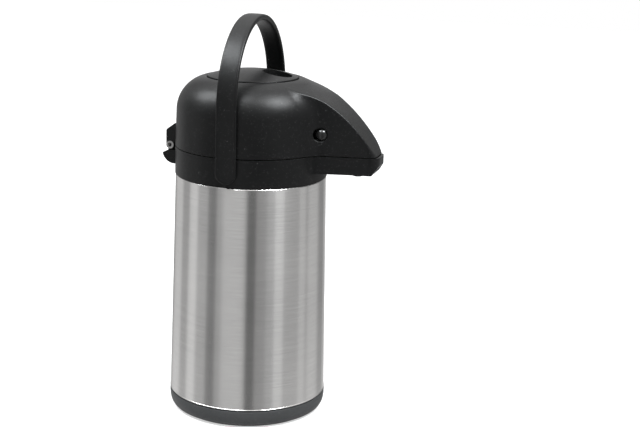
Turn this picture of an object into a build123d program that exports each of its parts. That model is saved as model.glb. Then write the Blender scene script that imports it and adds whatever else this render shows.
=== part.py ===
"""Pump airpot: steel vacuum bottle on a turntable foot, collar with a spout jaw, and a hinged
pump head with a beak. Millimetres, +Z up, origin on the floor in the bottle's axis, spout along +X."""
import os
from math import asin, cos, degrees, hypot, radians, sin, sqrt

from build123d import *

os.makedirs("parts", exist_ok=True)

# clearances and common walls
fit_gap = 0.05          # radial running clearance of a pin or shaft
loose_gap = 0.3         # gap between pieces that pass or rest near each other
plastic_wall = 2.5
steel_wall = 0.8
seam_gap = 0.6          # dark line between the collar and the head
slip_gap = 0.1          # gap over the slip ring
overcut = 1.0           # a cut runs this far past the face it opens
near = 0.1              # places closer than this count as the same
crease_near = 0.5       # an edge this close to the beak's top lies in it

# bottle and base
foot_drop = 2.5         # the foot ring stands this far below the base rim
base_rim_inset = 2.5    # the base cap narrows by this from the hem to its rim
hem_radius = 77.5       # casing at its lower hem
casing_taper = 4.0      # the casing narrows by this up to the collar
base_height = 15.0
groove = 1.0            # dark groove between the base cap and the hem
casing_height = 217.9
spigot_height = 6.0
base_rim_round = 1.4
hem_bead = 0.55         # rolled bead along the casing's lower edge
hem_proud = 0.35        # the bead stands out of the wall by this
shoulder_round = 1.5    # the casing turns in under the collar with this radius

# turntable
plate_gap = 1.0         # between the plate and the inside of the base rim
plate_thickness = 2.5
foot_inset = 1.5        # the foot ring lies this far inside the plate's edge
foot_width = 8.0
foot_seat = 0.5
foot_round = 0.5
slip_inset = 15.5       # the slip ring lies this far inside the plate's edge
slip_width = 6.0
slip_height = 1.4
hub_radius = 8.0
washer_radius = 12.0
washer_thickness = 1.0
washer_gap = 0.2
swivel_screw_radius = 1.9
screw_head_ratio = 2.0
screw_end_gap = 3.0

# liner and neck
liner_radius = 63.0     # inside of the bottle
liner_lift = 15.5       # the liner hangs this far above the casing's lower edge
liner_drop = 33.4       # and its wall ends this far under the casing's upper edge
neck_bore = 32.0
neck_wall_gap = 0.5
neck_rise = 13.1        # the bottle's mouth stands this far above the casing
step_inset = 2.5        # the casing's shoulder steps in under the collar
step_height = 1.0
liner_corner = 10.0
shoulder_rise = 4.0

# collar and jaw
collar_proud = 0.5      # the collar stands out over the casing's upper edge
collar_height = 26.8
deck_rise = 4.6
deck_thickness = 2.5
ring_outer = 41.0
ring_height = 4.0
ring_grip_radius = 2.0
ring_grips = 8
jaw_height = 16.7
nose_x = 130.0
nose_corner = 11.0
beak_root_x = 50.0      # half widths of the beak along its length, from the dome to the nose
beak_root_half = 37.0
beak_flare_x = 62.0
beak_flare_half = 31.2
beak_neck_x = 74.0
beak_neck_half = 27.0
beak_mid_x = 96.0
beak_mid_half = 21.8
beak_fore_x = 118.0
beak_fore_half = 18.2
root_blend = 6.0        # concave corner between the jaw and the collar
crease_radius = 2.2     # edge between the beak's top and its sides
jaw_chamfer = 6.0       # lower front corner of the jaw
jaw_slant = 9.0

# mouth
gasket_height = 1.5
gasket_lip = 1.0
cup_lap = 0.1           # the stem head and the lid gasket lap past the neck by this
cup_wall = 2.5
cup_floor = 2.5
cup_drop = 1.4          # the stem head's rim lies this far under the collar's top
post_radius = 7.5
post_drop = 0.8
post_reach = 5.5        # the post hangs this far below the bottle's mouth
window_radius = 28.0    # drink and air pass the bridge through the stem head's floor
bridge_width = 6.0
bridge_hub = 10.0
bridge_thickness = 1.8
post_flange_radius = 9.0
post_flange = 1.2

# dip tube, spout pipe and nozzle
tube_radius = 5.0
tube_bore = 4.0
tube_lift = 4.0         # the dip tube ends this far above the liner's floor
tube_insert = 8.0
foot_reach = 2.0        # its foot reaches this far below it
foot_height = 8.0
foot_wall = 1.4
pipe_radius = 4.0
pipe_bore = 3.2
pipe_drop = 4.8         # the pipe runs this far under the stem head's rim
pipe_bend = 6.0
nozzle_x = 107.0
nozzle_radius = 5.0
nozzle_reach = 4.0      # the nozzle hangs this far below the jaw
nozzle_flange = 1.5
nozzle_round = 0.6
pipe_grip = 4.0         # the pipe ends this far above the nozzle's mouth

# head dome
dome_wall_rise = 35.1   # the dome's upright wall, above the collar
dome_draft = 1.0        # the wall leans in this much up to the arc
dome_arc = 33.5
ridge_arc = 146.3       # arc of the beak's top, shared with the pump button
ridge_centre_drop = 106.2
crown_cone_slope = 0.377  # the beak's root falls away from the opening at this slope
crown_cone_width = 40.0
crown_sink = 1.0        # the beak's hollow stays this far under the dome's inner edge
opening_radius = 44.5
lip_depth = 10.4
sleeve_radius = 46.0
sleeve_wall = 2.2
sleeve_spare = 4.0      # the sleeve reaches this far below the pressed skirt
boss_radius = 4.0
boss_circle = 57.0
plate_screw_radius = 1.5

# hinge
hinge_reach = 4.4       # the hinge axis lies this far outside the collar
hinge_drop = 2.2
ear_inner = 11.5
ear_thickness = 5.0
ear_end = 4.2
ear_top_rise = 21.2     # heights of the ears above the hinge axis
ear_back_rise = 15.7
ear_blend = 1.2
lug_thickness = 5.0
lug_end = 4.0
eyelet_radius = 2.8
eyelet_bore = 2.0
eyelet_flange = 3.8
eyelet_flange_thickness = 0.6
hook_half_width = 16.5
hook_reach = 7.8        # the hook's tip, back from the hinge axis and below it
hook_tip_drop = 8.1
hook_top_drop = 5.0
hook_root_drop = 18.6
hook_belly_x = 3.0      # middle of the curved underside, from the tip's and the root's lines
hook_belly_z = 4.2
hook_step = 1.2

# head base plate, bellows and button
base_plate_thickness = 2.5
base_plate_rise = 0.5   # the plate sits this far inside the head's lower edge
bellows_port = 27.0
bellows_base_radius = 41.0
bellows_base_thickness = 2.5
outlet_radius = 2.5
outlet_circle = 7.0
valve_stem_radius = 1.5
flap_thickness = 0.8
flap_lap = 1.0
plate_screw_length = 10.0
bellows_radius = 38.0
bellows_fold = 6.0
bellows_folds = 6
bellows_skin = 1.0
spring_radius = 14.0
spring_wire = 0.9
spring_turns = 7
spring_guide_gap = 1.0
pump_stroke = 25.0
button_radius = 43.5
button_skin = 2.5
button_skirt = 2.0
skirt_gap = 0.2
skirt_rise = 22.4       # heights inside the head, above the dome's upright wall
skirt_flange_height = 3.0
recess_x = 25.0
recess_radius = 14.0
recess_rise = 21.9
recess_skin = 1.6
recess_lip = 1.2
button_edge = 0.8
tab_lift = 2.8          # the tab's tongue slides this far above the recess floor
tab_plate_half = 5.0
tab_rib_half = 6.0
tab_plate_thickness = 2.4
tab_back_x = 30.0
tab_thickness = 2.6
tab_rise = 33.2
lock_stroke = 5.0
plunger_radius = 41.0
plunger_thickness = 2.0
plunger_rise = 19.2
button_post_circle = 24.0
button_post_radius = 3.4
button_screw_radius = 1.3
button_screw_length = 8.0
plunger_boss = 3.0

# release buttons in the beak's sides
eye_x = 76.0
eye_rise = 20.8         # above the collar's top
eye_radius = 6.0
eye_recess_radius = 7.4
eye_recess_depth = 1.6
eye_proud = 2.2         # the cap stands out of the beak's side by this
eye_dome = 2.6
eye_travel = 3.0
eye_guide_y = 17.5      # inner end of the guide tube
guide_wall = 2.0
eye_flange_radius = 7.6
eye_spring_radius = 3.6
eye_spring_wire = 0.4
eye_spring_turns = 6
rib_half = 1.2
leg_outer_y = 15.8
leg_width = 6.0
leg_thickness = 2.4
leg_lift = 7.0          # the legs end this far above the jaw's underside
catch_thickness = 2.5
catch_height = 8.5

# handle
pivot_rise = 14.1       # the handle's pivots, above the casing
handle_gap = 0.6        # between the collar and the handle's legs
strap_thickness = 4.4
leg_half_width = 10.2
crown_half_width = 9.2
arch_rise = 61.5        # the legs run straight this far above the pivots
crown_thickness = 6.0
handle_edge = 1.3
pin_radius = 4.0
pin_reach = 12.0        # the pins and bushes reach this far inside the collar's face
pin_socket = 2.9
bush_radius = 6.0
bush_reach = 8.0
bush_flange_radius = 6.9
bush_flange = 1.5
pad_radius = 9.0
clip_radius = 6.5
clip_thickness = 1.6

# places that follow from the sizes above
base_top = foot_drop + base_height
casing_bottom_z = base_top + groove
casing_top = casing_bottom_z + casing_height
base_rim_radius = hem_radius - base_rim_inset
shoulder_radius = hem_radius - casing_taper
collar_radius = shoulder_radius + collar_proud
step_radius = shoulder_radius - step_inset
plate_radius = base_rim_radius - plastic_wall - plate_gap
foot_outer = plate_radius - foot_inset
foot_inner = foot_outer - foot_width
slip_outer = plate_radius - slip_inset
slip_inner = slip_outer - slip_width
plate_bottom = foot_drop
plate_top = plate_bottom + plate_thickness
floor_bottom = plate_top + slip_height + slip_gap
washer_bottom = plate_bottom + washer_gap
hub_bottom = washer_bottom + washer_thickness
floor_top = floor_bottom + plastic_wall
spigot_top = base_top + spigot_height
liner_bottom = casing_bottom_z + liner_lift
liner_shoulder = casing_top - liner_drop
neck_top = casing_top + neck_rise
collar_top = casing_top + collar_height
jaw_bottom = collar_top - jaw_height
deck_bottom = casing_top + deck_rise
deck_top = deck_bottom + deck_thickness
neck_outer = neck_bore + 2 * steel_wall + neck_wall_gap
gasket_top = neck_top + gasket_height
cup_top = collar_top - cup_drop
post_top = cup_top - post_drop
post_bottom = neck_top - post_reach
pipe_height = cup_top - pipe_drop
tube_bottom = liner_bottom + tube_lift
foot_bottom = tube_bottom - foot_reach
nozzle_bottom = jaw_bottom - nozzle_reach
cup_radius = neck_outer + cup_lap
head_bottom = collar_top + seam_gap
base_plate_bottom = head_bottom + base_plate_rise
base_plate_top = base_plate_bottom + base_plate_thickness
lid_gasket_bottom = cup_top + loose_gap
bellows_base_top = base_plate_top + bellows_base_thickness
dome_wall_top = collar_top + dome_wall_rise
ridge_centre_z = dome_wall_top - ridge_centre_drop
skirt_flange_top = dome_wall_top + skirt_rise
recess_floor_z = dome_wall_top + recess_rise
tab_top_z = dome_wall_top + tab_rise
plunger_top_z = dome_wall_top + plunger_rise
plunger_bottom = plunger_top_z - plunger_thickness
skirt_bottom = skirt_flange_top - skirt_flange_height
sleeve_bottom = skirt_bottom - pump_stroke - sleeve_spare
dome_centre_r = collar_radius - dome_draft - dome_arc
crown_reach = opening_radius - dome_centre_r
dome_top = dome_wall_top + sqrt(dome_arc**2 - crown_reach**2)
hinge_x = -(collar_radius + hinge_reach)
hinge_z = collar_top - hinge_drop
ear_top_z = hinge_z + ear_top_rise
ear_back_z = hinge_z + ear_back_rise
hook_tip_x = hinge_x - hook_reach
hook_tip_z = hinge_z - hook_tip_drop
hook_top_z = hinge_z - hook_top_drop
hook_root_z = hinge_z - hook_root_drop
eye_z = collar_top + eye_rise
leg_bottom = jaw_bottom + leg_lift
pivot_z = casing_top + pivot_rise
arch_z = pivot_z + arch_rise
leg_inner = collar_radius + handle_gap
handle_outer = leg_inner + strap_thickness
bush_inner_y = collar_radius - bush_reach
pin_inner_y = collar_radius - pin_reach
beak_side_slope = (beak_neck_half - beak_mid_half) / (beak_mid_x - beak_neck_x)
eye_wall_y = beak_neck_half - (eye_x - beak_neck_x) * beak_side_slope


def casing_radius(z):
    """Outside radius of the tapered casing at a height."""
    share = (z - casing_bottom_z) / casing_height
    return hem_radius + (shoulder_radius - hem_radius) * share


def ring_profile(points):
    """A closed profile in the XZ plane from a list of (radius, height) corners."""
    Polyline(*points, close=True)


def beak_outline(inset):
    """Plan outline of the beak, flared where it leaves the dome, drawn in by an inset."""
    with BuildSketch(mode=Mode.PRIVATE) as plan:
        with BuildLine():
            root = (beak_root_x, beak_root_half - inset)
            flare = (beak_flare_x, beak_flare_half - inset)
            neck = (beak_neck_x, beak_neck_half - inset)
            mid = (beak_mid_x, beak_mid_half - inset)
            fore = (beak_fore_x, beak_fore_half - inset)
            front_x = nose_x - inset
            for mirror in (1, -1):
                ThreePointArc(*[(x, mirror * y) for x, y in (root, flare, neck)])
                ThreePointArc(*[(x, mirror * y) for x, y in (neck, mid, fore)])
                Line((fore[0], mirror * fore[1]), (front_x, mirror * fore[1]))
            Line((front_x, fore[1]), (front_x, -fore[1]))
            Line(root, (root[0], -root[1]))
        make_face()
        nose = plan.vertices().group_by(Axis.X)[-1]
        fillet(nose, nose_corner - inset)
    return plan.sketch


def dome_solid(inset):
    """The head's dome, solid, drawn in by an inset all round, up to its top opening."""
    arc = dome_arc - inset
    foot_r = collar_radius - inset
    rise = sqrt(arc**2 - crown_reach**2)
    middle = radians(45)
    with BuildPart(mode=Mode.PRIVATE) as dome:
        with BuildSketch(Plane.XZ):
            with BuildLine():
                start = (dome_centre_r + arc, dome_wall_top)
                half = (dome_centre_r + arc * cos(middle), dome_wall_top + arc * sin(middle))
                end = (opening_radius, dome_wall_top + rise)
                ThreePointArc(start, half, end)
                Polyline(end, (0, dome_wall_top + rise), (0, head_bottom), (foot_r, head_bottom), start)
            make_face()
        revolve(axis=Axis.Z)
    return dome.part


def beak_solid(inset, sink):
    """The beak, solid: its plan outline under the ridge arc and a shallow cone round the crown."""
    arc = ridge_arc - inset
    lean = radians(45)
    front = radians(63)
    crown = dome_wall_top + sqrt((dome_arc - inset) ** 2 - crown_reach**2) - sink
    with BuildPart(mode=Mode.PRIVATE) as beak:
        with BuildSketch(Plane.XY.offset(head_bottom)):
            add(beak_outline(inset))
        extrude(amount=crown - head_bottom)
        with BuildSketch(Plane.XZ):
            with BuildLine():
                left = (-arc * sin(lean), ridge_centre_z + arc * cos(lean))
                right = (arc * sin(front), ridge_centre_z + arc * cos(front))
                ThreePointArc(left, (0, ridge_centre_z + arc), right)
                Polyline(right, (right[0], ridge_centre_z), (left[0], ridge_centre_z), left)
            make_face()
        extrude(amount=hem_radius, both=True, mode=Mode.INTERSECT)
        with BuildSketch(Plane.XZ):
            with BuildLine():
                far = opening_radius + crown_cone_width
                low = crown - crown_cone_width * crown_cone_slope
                Polyline((0, head_bottom), (0, crown), (opening_radius, crown), (far, low),
                         (nose_x + overcut, low), (nose_x + overcut, head_bottom), close=True)
            make_face()
        revolve(axis=Axis.Z, mode=Mode.INTERSECT)
    return beak.part


# base cap: skirt, floor, hub for the turntable and spigot into the casing
with BuildPart() as base_cap:
    with BuildSketch(Plane.XZ):
        with BuildLine():
            ring_profile([
                (swivel_screw_radius + fit_gap, hub_bottom),
                (hub_radius, hub_bottom),
                (hub_radius, floor_bottom),
                (base_rim_radius - plastic_wall, floor_bottom),
                (base_rim_radius - plastic_wall, foot_drop),
                (base_rim_radius, foot_drop),
                (hem_radius, base_top),
                (casing_radius(base_top) - steel_wall - loose_gap, base_top),
                (casing_radius(spigot_top) - steel_wall - loose_gap, spigot_top),
                (casing_radius(spigot_top) - steel_wall - loose_gap - plastic_wall, spigot_top),
                (casing_radius(spigot_top) - steel_wall - loose_gap - plastic_wall, floor_top),
                (hub_radius, floor_top),
                (hub_radius, spigot_top),
                (swivel_screw_radius + fit_gap, spigot_top),
            ])
        make_face()
    revolve(axis=Axis.Z)
    lowest = base_cap.edges().filter_by(GeomType.CIRCLE).group_by(Axis.Z)[0]
    fillet(lowest.sort_by(SortBy.RADIUS)[-1], base_rim_round)
base_cap.part.label = "base_cap"
export_step(base_cap.part, "parts/base_cap.step")

# turntable plate that stays still on the table while the pot turns
with BuildPart() as swivel_plate:
    with BuildSketch(Plane.XY.offset(plate_bottom)):
        Circle(plate_radius)
        Circle(hub_radius + fit_gap, mode=Mode.SUBTRACT)
    extrude(amount=plate_thickness)
    with BuildSketch(Plane.XY.offset(plate_bottom)):
        Circle(washer_radius + loose_gap)
    extrude(amount=hub_bottom + slip_gap - plate_bottom, mode=Mode.SUBTRACT)
    with BuildSketch(Plane.XY.offset(plate_bottom)):
        Circle(foot_outer + loose_gap)
        Circle(foot_inner - loose_gap, mode=Mode.SUBTRACT)
    extrude(amount=foot_seat, mode=Mode.SUBTRACT)
swivel_plate.part.label = "swivel_plate"
export_step(swivel_plate.part, "parts/swivel_plate.step")

# rubber ring that the pot stands on
with BuildPart() as foot_ring:
    with BuildSketch():
        Circle(foot_outer)
        Circle(foot_inner, mode=Mode.SUBTRACT)
    extrude(amount=plate_bottom + foot_seat)
    fillet(foot_ring.edges().filter_by(GeomType.CIRCLE).group_by(Axis.Z)[0], foot_round)
foot_ring.part.label = "foot_ring"
export_step(foot_ring.part, "parts/foot_ring.step")

# slip ring between the turntable plate and the base cap's floor
with BuildPart() as slip_ring:
    with BuildSketch(Plane.XY.offset(plate_top)):
        Circle(slip_outer)
        Circle(slip_inner, mode=Mode.SUBTRACT)
    extrude(amount=slip_height)
slip_ring.part.label = "slip_ring"
export_step(slip_ring.part, "parts/slip_ring.step")

# washer and screw that hold the turntable on the hub
with BuildPart() as swivel_washer:
    with BuildSketch(Plane.XY.offset(washer_bottom)):
        Circle(washer_radius)
        Circle(swivel_screw_radius + fit_gap, mode=Mode.SUBTRACT)
    extrude(amount=washer_thickness)
swivel_washer.part.label = "swivel_washer"
export_step(swivel_washer.part, "parts/swivel_washer.step")

with BuildPart() as swivel_screw:
    with BuildSketch(Plane.XY.offset(washer_bottom)):
        Circle(swivel_screw_radius * screw_head_ratio)
    extrude(amount=-swivel_screw_radius)
    with BuildSketch(Plane.XY.offset(washer_bottom)):
        Circle(swivel_screw_radius)
    extrude(amount=spigot_top - plate_bottom - screw_end_gap)
swivel_screw.part.label = "swivel_screw"
export_step(swivel_screw.part, "parts/swivel_screw.step")

# outer steel casing: tapered wall with a rolled bead at the hem, turned in at the top
shoulder_z = casing_top + step_height
bead_z = casing_bottom_z + hem_bead
bead_r = hem_radius + hem_proud - hem_bead
with BuildPart() as outer_casing:
    with BuildSketch(Plane.XZ):
        with BuildLine():
            ring_profile([
                (hem_radius, casing_bottom_z),
                (shoulder_radius, casing_top),
                (step_radius, casing_top),
                (step_radius, casing_top - steel_wall),
                (shoulder_radius - steel_wall, casing_top - steel_wall),
                (hem_radius - steel_wall, casing_bottom_z),
            ])
        make_face()
        with Locations((bead_r, bead_z)):
            Circle(hem_bead)
    revolve(axis=Axis.Z)
    highest = outer_casing.edges().filter_by(GeomType.CIRCLE).group_by(Axis.Z)[-1]
    fillet(highest.sort_by(SortBy.RADIUS)[-1], shoulder_round)
outer_casing.part.label = "outer_casing"
export_step(outer_casing.part, "parts/outer_casing.step")

# steel shoulder seamed to the casing's top, and the outer neck
with BuildPart() as casing_shoulder:
    with BuildSketch(Plane.XZ):
        with BuildLine():
            ring_profile([
                (step_radius, casing_top - steel_wall),
                (step_radius, shoulder_z),
                (neck_outer, shoulder_z + shoulder_rise - steel_wall),
                (neck_outer, neck_top - steel_wall),
                (neck_outer - steel_wall, neck_top - steel_wall),
                (neck_outer - steel_wall, shoulder_z + shoulder_rise - 2 * steel_wall),
                (step_radius - steel_wall, shoulder_z - steel_wall),
                (step_radius - steel_wall, casing_top - steel_wall),
            ])
        make_face()
    revolve(axis=Axis.Z)
casing_shoulder.part.label = "casing_shoulder"
export_step(casing_shoulder.part, "parts/casing_shoulder.step")

# steel disc that closes the casing above the base cap's spigot
disc_z = spigot_top + loose_gap
disc_rim = 4.0
rim_radius = casing_radius(disc_z + disc_rim) - steel_wall
with BuildPart() as casing_bottom:
    with BuildSketch(Plane.XZ):
        with BuildLine():
            ring_profile([
                (0, disc_z),
                (rim_radius - disc_rim, disc_z),
                (rim_radius, disc_z + disc_rim),
                (rim_radius - steel_wall, disc_z + disc_rim),
                (rim_radius - disc_rim, disc_z + steel_wall),
                (0, disc_z + steel_wall),
            ])
        make_face()
    revolve(axis=Axis.Z)
casing_bottom.part.label = "casing_bottom"
export_step(casing_bottom.part, "parts/casing_bottom.step")

# inner steel liner: the bottle's wall and bottom
with BuildPart() as inner_liner:
    with BuildSketch(Plane.XZ):
        with BuildLine():
            ring_profile([
                (0, liner_bottom - steel_wall),
                (liner_radius + steel_wall - liner_corner, liner_bottom - steel_wall),
                (liner_radius + steel_wall, liner_bottom - steel_wall + liner_corner),
                (liner_radius + steel_wall, liner_shoulder),
                (liner_radius, liner_shoulder),
                (liner_radius, liner_bottom + liner_corner - steel_wall / 2),
                (liner_radius - liner_corner + steel_wall / 2, liner_bottom),
                (0, liner_bottom),
            ])
        make_face()
    revolve(axis=Axis.Z)
inner_liner.part.label = "inner_liner"
export_step(inner_liner.part, "parts/inner_liner.step")

# shoulder and neck of the liner, welded to its wall and to the casing's neck
neck_foot = liner_shoulder + liner_radius - neck_bore
with BuildPart() as liner_neck:
    with BuildSketch(Plane.XZ):
        with BuildLine():
            ring_profile([
                (liner_radius + steel_wall, liner_shoulder),
                (neck_bore + steel_wall, neck_foot),
                (neck_bore + steel_wall, neck_top - steel_wall),
                (neck_outer, neck_top - steel_wall),
                (neck_outer, neck_top),
                (neck_bore, neck_top),
                (neck_bore, neck_foot - steel_wall / 2),
                (liner_radius, liner_shoulder),
            ])
        make_face()
    revolve(axis=Axis.Z)
liner_neck.part.label = "liner_neck"
export_step(liner_neck.part, "parts/liner_neck.step")

def on_jaw_root(edge):
    """Whether an upright edge stands in the corner between the collar's wall and the jaw."""
    middle = edge.center()
    on_wall = abs(hypot(middle.X, middle.Y) - collar_radius) < near
    return on_wall and middle.X > 0 and abs(middle.Y) > nose_corner


# collar: outer wall with the lower jaw, deck round the neck, handle pads, lugs and hook bracket
with BuildPart() as collar:
    with BuildSketch(Plane.XY.offset(casing_top + loose_gap)):
        Circle(collar_radius)
    extrude(amount=collar_top - casing_top - loose_gap)
    with BuildSketch(Plane.XY.offset(jaw_bottom)):
        add(beak_outline(0))
    extrude(amount=jaw_height)
    fillet(collar.edges().filter_by(Axis.Z).filter_by(on_jaw_root), root_blend)
    # lower front corner of the jaw, cut at a slant
    with BuildSketch(Plane.XZ):
        with BuildLine():
            Polyline((nose_x - jaw_chamfer, jaw_bottom), (nose_x + overcut, jaw_bottom),
                     (nose_x + overcut, jaw_bottom + jaw_slant + overcut), (nose_x, jaw_bottom + jaw_slant),
                     close=True)
        make_face()
    extrude(amount=beak_fore_half, both=True, mode=Mode.SUBTRACT)
    with BuildSketch(Plane.XY.offset(deck_top)):
        Circle(collar_radius - plastic_wall)
    extrude(amount=collar_top - deck_top, mode=Mode.SUBTRACT)
    with BuildSketch(Plane.XY.offset(jaw_bottom + plastic_wall)):
        add(beak_outline(plastic_wall))
    extrude(amount=jaw_height, mode=Mode.SUBTRACT)
    with BuildSketch(Plane.XY.offset(casing_top)):
        Circle(collar_radius - plastic_wall)
    extrude(amount=deck_bottom - casing_top, mode=Mode.SUBTRACT)
    with BuildSketch(Plane.XY.offset(deck_bottom)):
        Circle(neck_outer + loose_gap)
    extrude(amount=deck_thickness, mode=Mode.SUBTRACT)
    # pads inside the wall that take the handle bushes
    for side in (1, -1):
        with BuildSketch(Plane.XZ.offset(-side * bush_inner_y)):
            with Locations((0, pivot_z)):
                Circle(pad_radius)
        extrude(amount=-side * (collar_radius - plastic_wall / 2 - bush_inner_y))
        with BuildSketch(Plane.XZ.offset(-side * (bush_inner_y - overcut))):
            with Locations((0, pivot_z)):
                Circle(bush_radius + fit_gap)
        extrude(amount=-side * (collar_radius - bush_inner_y + 2 * overcut), mode=Mode.SUBTRACT)
    # catch posts beside the release buttons' legs
    for side in (1, -1):
        with BuildSketch(Plane.XY.offset(jaw_bottom + plastic_wall)):
            with Locations((eye_x, side * (leg_outer_y + loose_gap + catch_thickness / 2))):
                Rectangle(leg_width, catch_thickness)
        extrude(amount=catch_height)
    # hole for the nozzle in the jaw's floor
    with BuildSketch(Plane.XY.offset(jaw_bottom)):
        with Locations((nozzle_x, 0)):
            Circle(nozzle_radius + fit_gap)
    extrude(amount=plastic_wall, mode=Mode.SUBTRACT)
    # hook bracket across the back: quarter-round underside and a stepped top
    wall_x = -sqrt((collar_radius - overcut) ** 2 - hook_half_width**2)
    with BuildSketch(Plane.XZ.offset(-hook_half_width)):
        with BuildLine():
            root = (wall_x, hook_root_z)
            low = (hinge_x + lug_end, hook_root_z)
            tip = (hook_tip_x, hook_tip_z)
            ThreePointArc(low, (hook_tip_x + hook_belly_x, hook_root_z + hook_belly_z), tip)
            Polyline(tip, (hinge_x - hook_step, hook_top_z), (wall_x, hook_top_z), root, low)
        make_face()
    extrude(amount=2 * hook_half_width)
    # lugs that carry the hinge eyelets
    lug_outer = ear_inner - loose_gap
    for side in (1, -1):
        start_y = side * lug_outer
        with BuildSketch(Plane.XZ.offset(-start_y)):
            with Locations((hinge_x, hinge_z)):
                Circle(lug_end)
            with Locations((hinge_x, hook_top_z - overcut)):
                Rectangle(2 * lug_end, hinge_z - hook_top_z + overcut, align=(Align.CENTER, Align.MIN))
            with Locations((hinge_x, hook_top_z - overcut)):
                Rectangle(-hinge_x - collar_radius + overcut, hinge_z - hook_top_z + 2 * overcut,
                          align=(Align.MIN, Align.MIN))
        extrude(amount=side * lug_thickness)
        with BuildSketch(Plane.XZ.offset(-start_y)):
            with Locations((hinge_x, hinge_z)):
                Circle(eyelet_radius)
        extrude(amount=side * lug_thickness, mode=Mode.SUBTRACT)
collar.part.label = "collar"
export_step(collar.part, "parts/collar.step")

# ring that clamps the collar's deck on the bottle neck
with BuildPart() as neck_ring:
    with BuildSketch(Plane.XY.offset(deck_top)):
        Circle(ring_outer)
        Circle(neck_outer + fit_gap, mode=Mode.SUBTRACT)
    extrude(amount=ring_height)
    with BuildSketch(Plane.XY.offset(deck_top + ring_height / 2)):
        with PolarLocations(ring_outer, ring_grips):
            Circle(ring_grip_radius)
    extrude(amount=ring_height / 2, mode=Mode.SUBTRACT)
neck_ring.part.label = "neck_ring"
export_step(neck_ring.part, "parts/neck_ring.step")

# soft ring on the bottle rim
with BuildPart() as mouth_gasket:
    with BuildSketch(Plane.XY.offset(neck_top)):
        Circle(neck_outer)
        Circle(neck_bore - gasket_lip, mode=Mode.SUBTRACT)
    extrude(amount=gasket_height)
mouth_gasket.part.label = "mouth_gasket"
export_step(mouth_gasket.part, "parts/mouth_gasket.step")

# stem head: cup in the bottle's mouth, open in the middle, with a hole for the spout pipe
with BuildPart() as stem_head:
    with BuildSketch(Plane.XY.offset(gasket_top)):
        Circle(cup_radius)
        Circle(window_radius, mode=Mode.SUBTRACT)
    extrude(amount=cup_floor)
    with BuildSketch(Plane.XY.offset(gasket_top + cup_floor)):
        Circle(cup_radius)
        Circle(cup_radius - cup_wall, mode=Mode.SUBTRACT)
    extrude(amount=cup_top - gasket_top - cup_floor)
    with BuildSketch(Plane.YZ):
        with Locations((0, pipe_height)):
            Circle(pipe_radius)
    extrude(amount=cup_radius + overcut, mode=Mode.SUBTRACT)
stem_head.part.label = "stem_head"
export_step(stem_head.part, "parts/stem_head.step")

# bridge: a bar across the stem head's floor whose hub carries the post
with BuildPart() as stem_bridge:
    with BuildSketch(Plane.XY.offset(gasket_top)):
        Rectangle(bridge_width, 2 * window_radius)
        Circle(window_radius - slip_gap, mode=Mode.INTERSECT)
        Circle(bridge_hub)
        Circle(post_radius + fit_gap, mode=Mode.SUBTRACT)
    extrude(amount=bridge_thickness)
stem_bridge.part.label = "stem_bridge"
export_step(stem_bridge.part, "parts/stem_bridge.step")

# post: joins the dip tube under the bridge to the spout pipe above it
with BuildPart() as stem_post:
    with BuildSketch(Plane.XY.offset(post_bottom)):
        Circle(post_radius)
    extrude(amount=post_top - post_bottom)
    with BuildSketch(Plane.XY.offset(gasket_top - slip_gap)):
        Circle(post_flange_radius)
    extrude(amount=-post_flange)
    with BuildSketch(Plane.XY.offset(post_bottom)):
        Circle(tube_radius)
    extrude(amount=tube_insert, mode=Mode.SUBTRACT)
    with BuildSketch(Plane.XY.offset(post_bottom + tube_insert)):
        Circle(pipe_bore)
    extrude(amount=pipe_height - post_bottom - tube_insert, mode=Mode.SUBTRACT)
    with BuildSketch(Plane.YZ):
        with Locations((0, pipe_height)):
            Circle(pipe_radius)
    extrude(amount=post_radius + overcut, mode=Mode.SUBTRACT)
stem_post.part.label = "stem_post"
export_step(stem_post.part, "parts/stem_post.step")

# dip tube down the bottle's middle and its strainer foot
with BuildPart() as dip_tube:
    with BuildSketch(Plane.XY.offset(tube_bottom)):
        Circle(tube_radius)
        Circle(tube_bore, mode=Mode.SUBTRACT)
    extrude(amount=post_bottom + tube_insert - tube_bottom)
dip_tube.part.label = "dip_tube"
export_step(dip_tube.part, "parts/dip_tube.step")

with BuildPart() as tube_foot:
    with BuildSketch(Plane.XY.offset(foot_bottom)):
        Circle(tube_radius + foot_wall)
    extrude(amount=foot_height)
    with BuildSketch(Plane.XY.offset(tube_bottom)):
        Circle(tube_radius)
    extrude(amount=foot_height, mode=Mode.SUBTRACT)
    with BuildSketch(Plane.XY.offset(foot_bottom)):
        Rectangle(2 * tube_bore, foot_wall)
        Rectangle(foot_wall, 2 * tube_bore)
    extrude(amount=foot_height, mode=Mode.SUBTRACT)
tube_foot.part.label = "tube_foot"
export_step(tube_foot.part, "parts/tube_foot.step")

# spout pipe: out from the post along the jaw and down into the nozzle
pipe_end_z = nozzle_bottom + pipe_grip
with BuildPart() as spout_pipe:
    with BuildLine() as pipe_path:
        pipe_run = Line((pipe_bore, 0, pipe_height), (nozzle_x - pipe_bend, 0, pipe_height))
        pipe_turn = RadiusArc(pipe_run @ 1, (nozzle_x, 0, pipe_height - pipe_bend), pipe_bend)
        Line(pipe_turn @ 1, (nozzle_x, 0, pipe_end_z))
    with BuildSketch(Plane((pipe_bore, 0, pipe_height), x_dir=(0, 1, 0), z_dir=(1, 0, 0))):
        Circle(pipe_radius)
        Circle(pipe_bore, mode=Mode.SUBTRACT)
    sweep(path=pipe_path.wires()[0])
    # the pipe's inner end opens down onto the post's bore
    with BuildSketch(Plane.XY.offset(post_bottom)):
        Circle(pipe_bore + overcut)
    extrude(amount=pipe_height - post_bottom, mode=Mode.SUBTRACT)
spout_pipe.part.label = "spout_pipe"
export_step(spout_pipe.part, "parts/spout_pipe.step")

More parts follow.
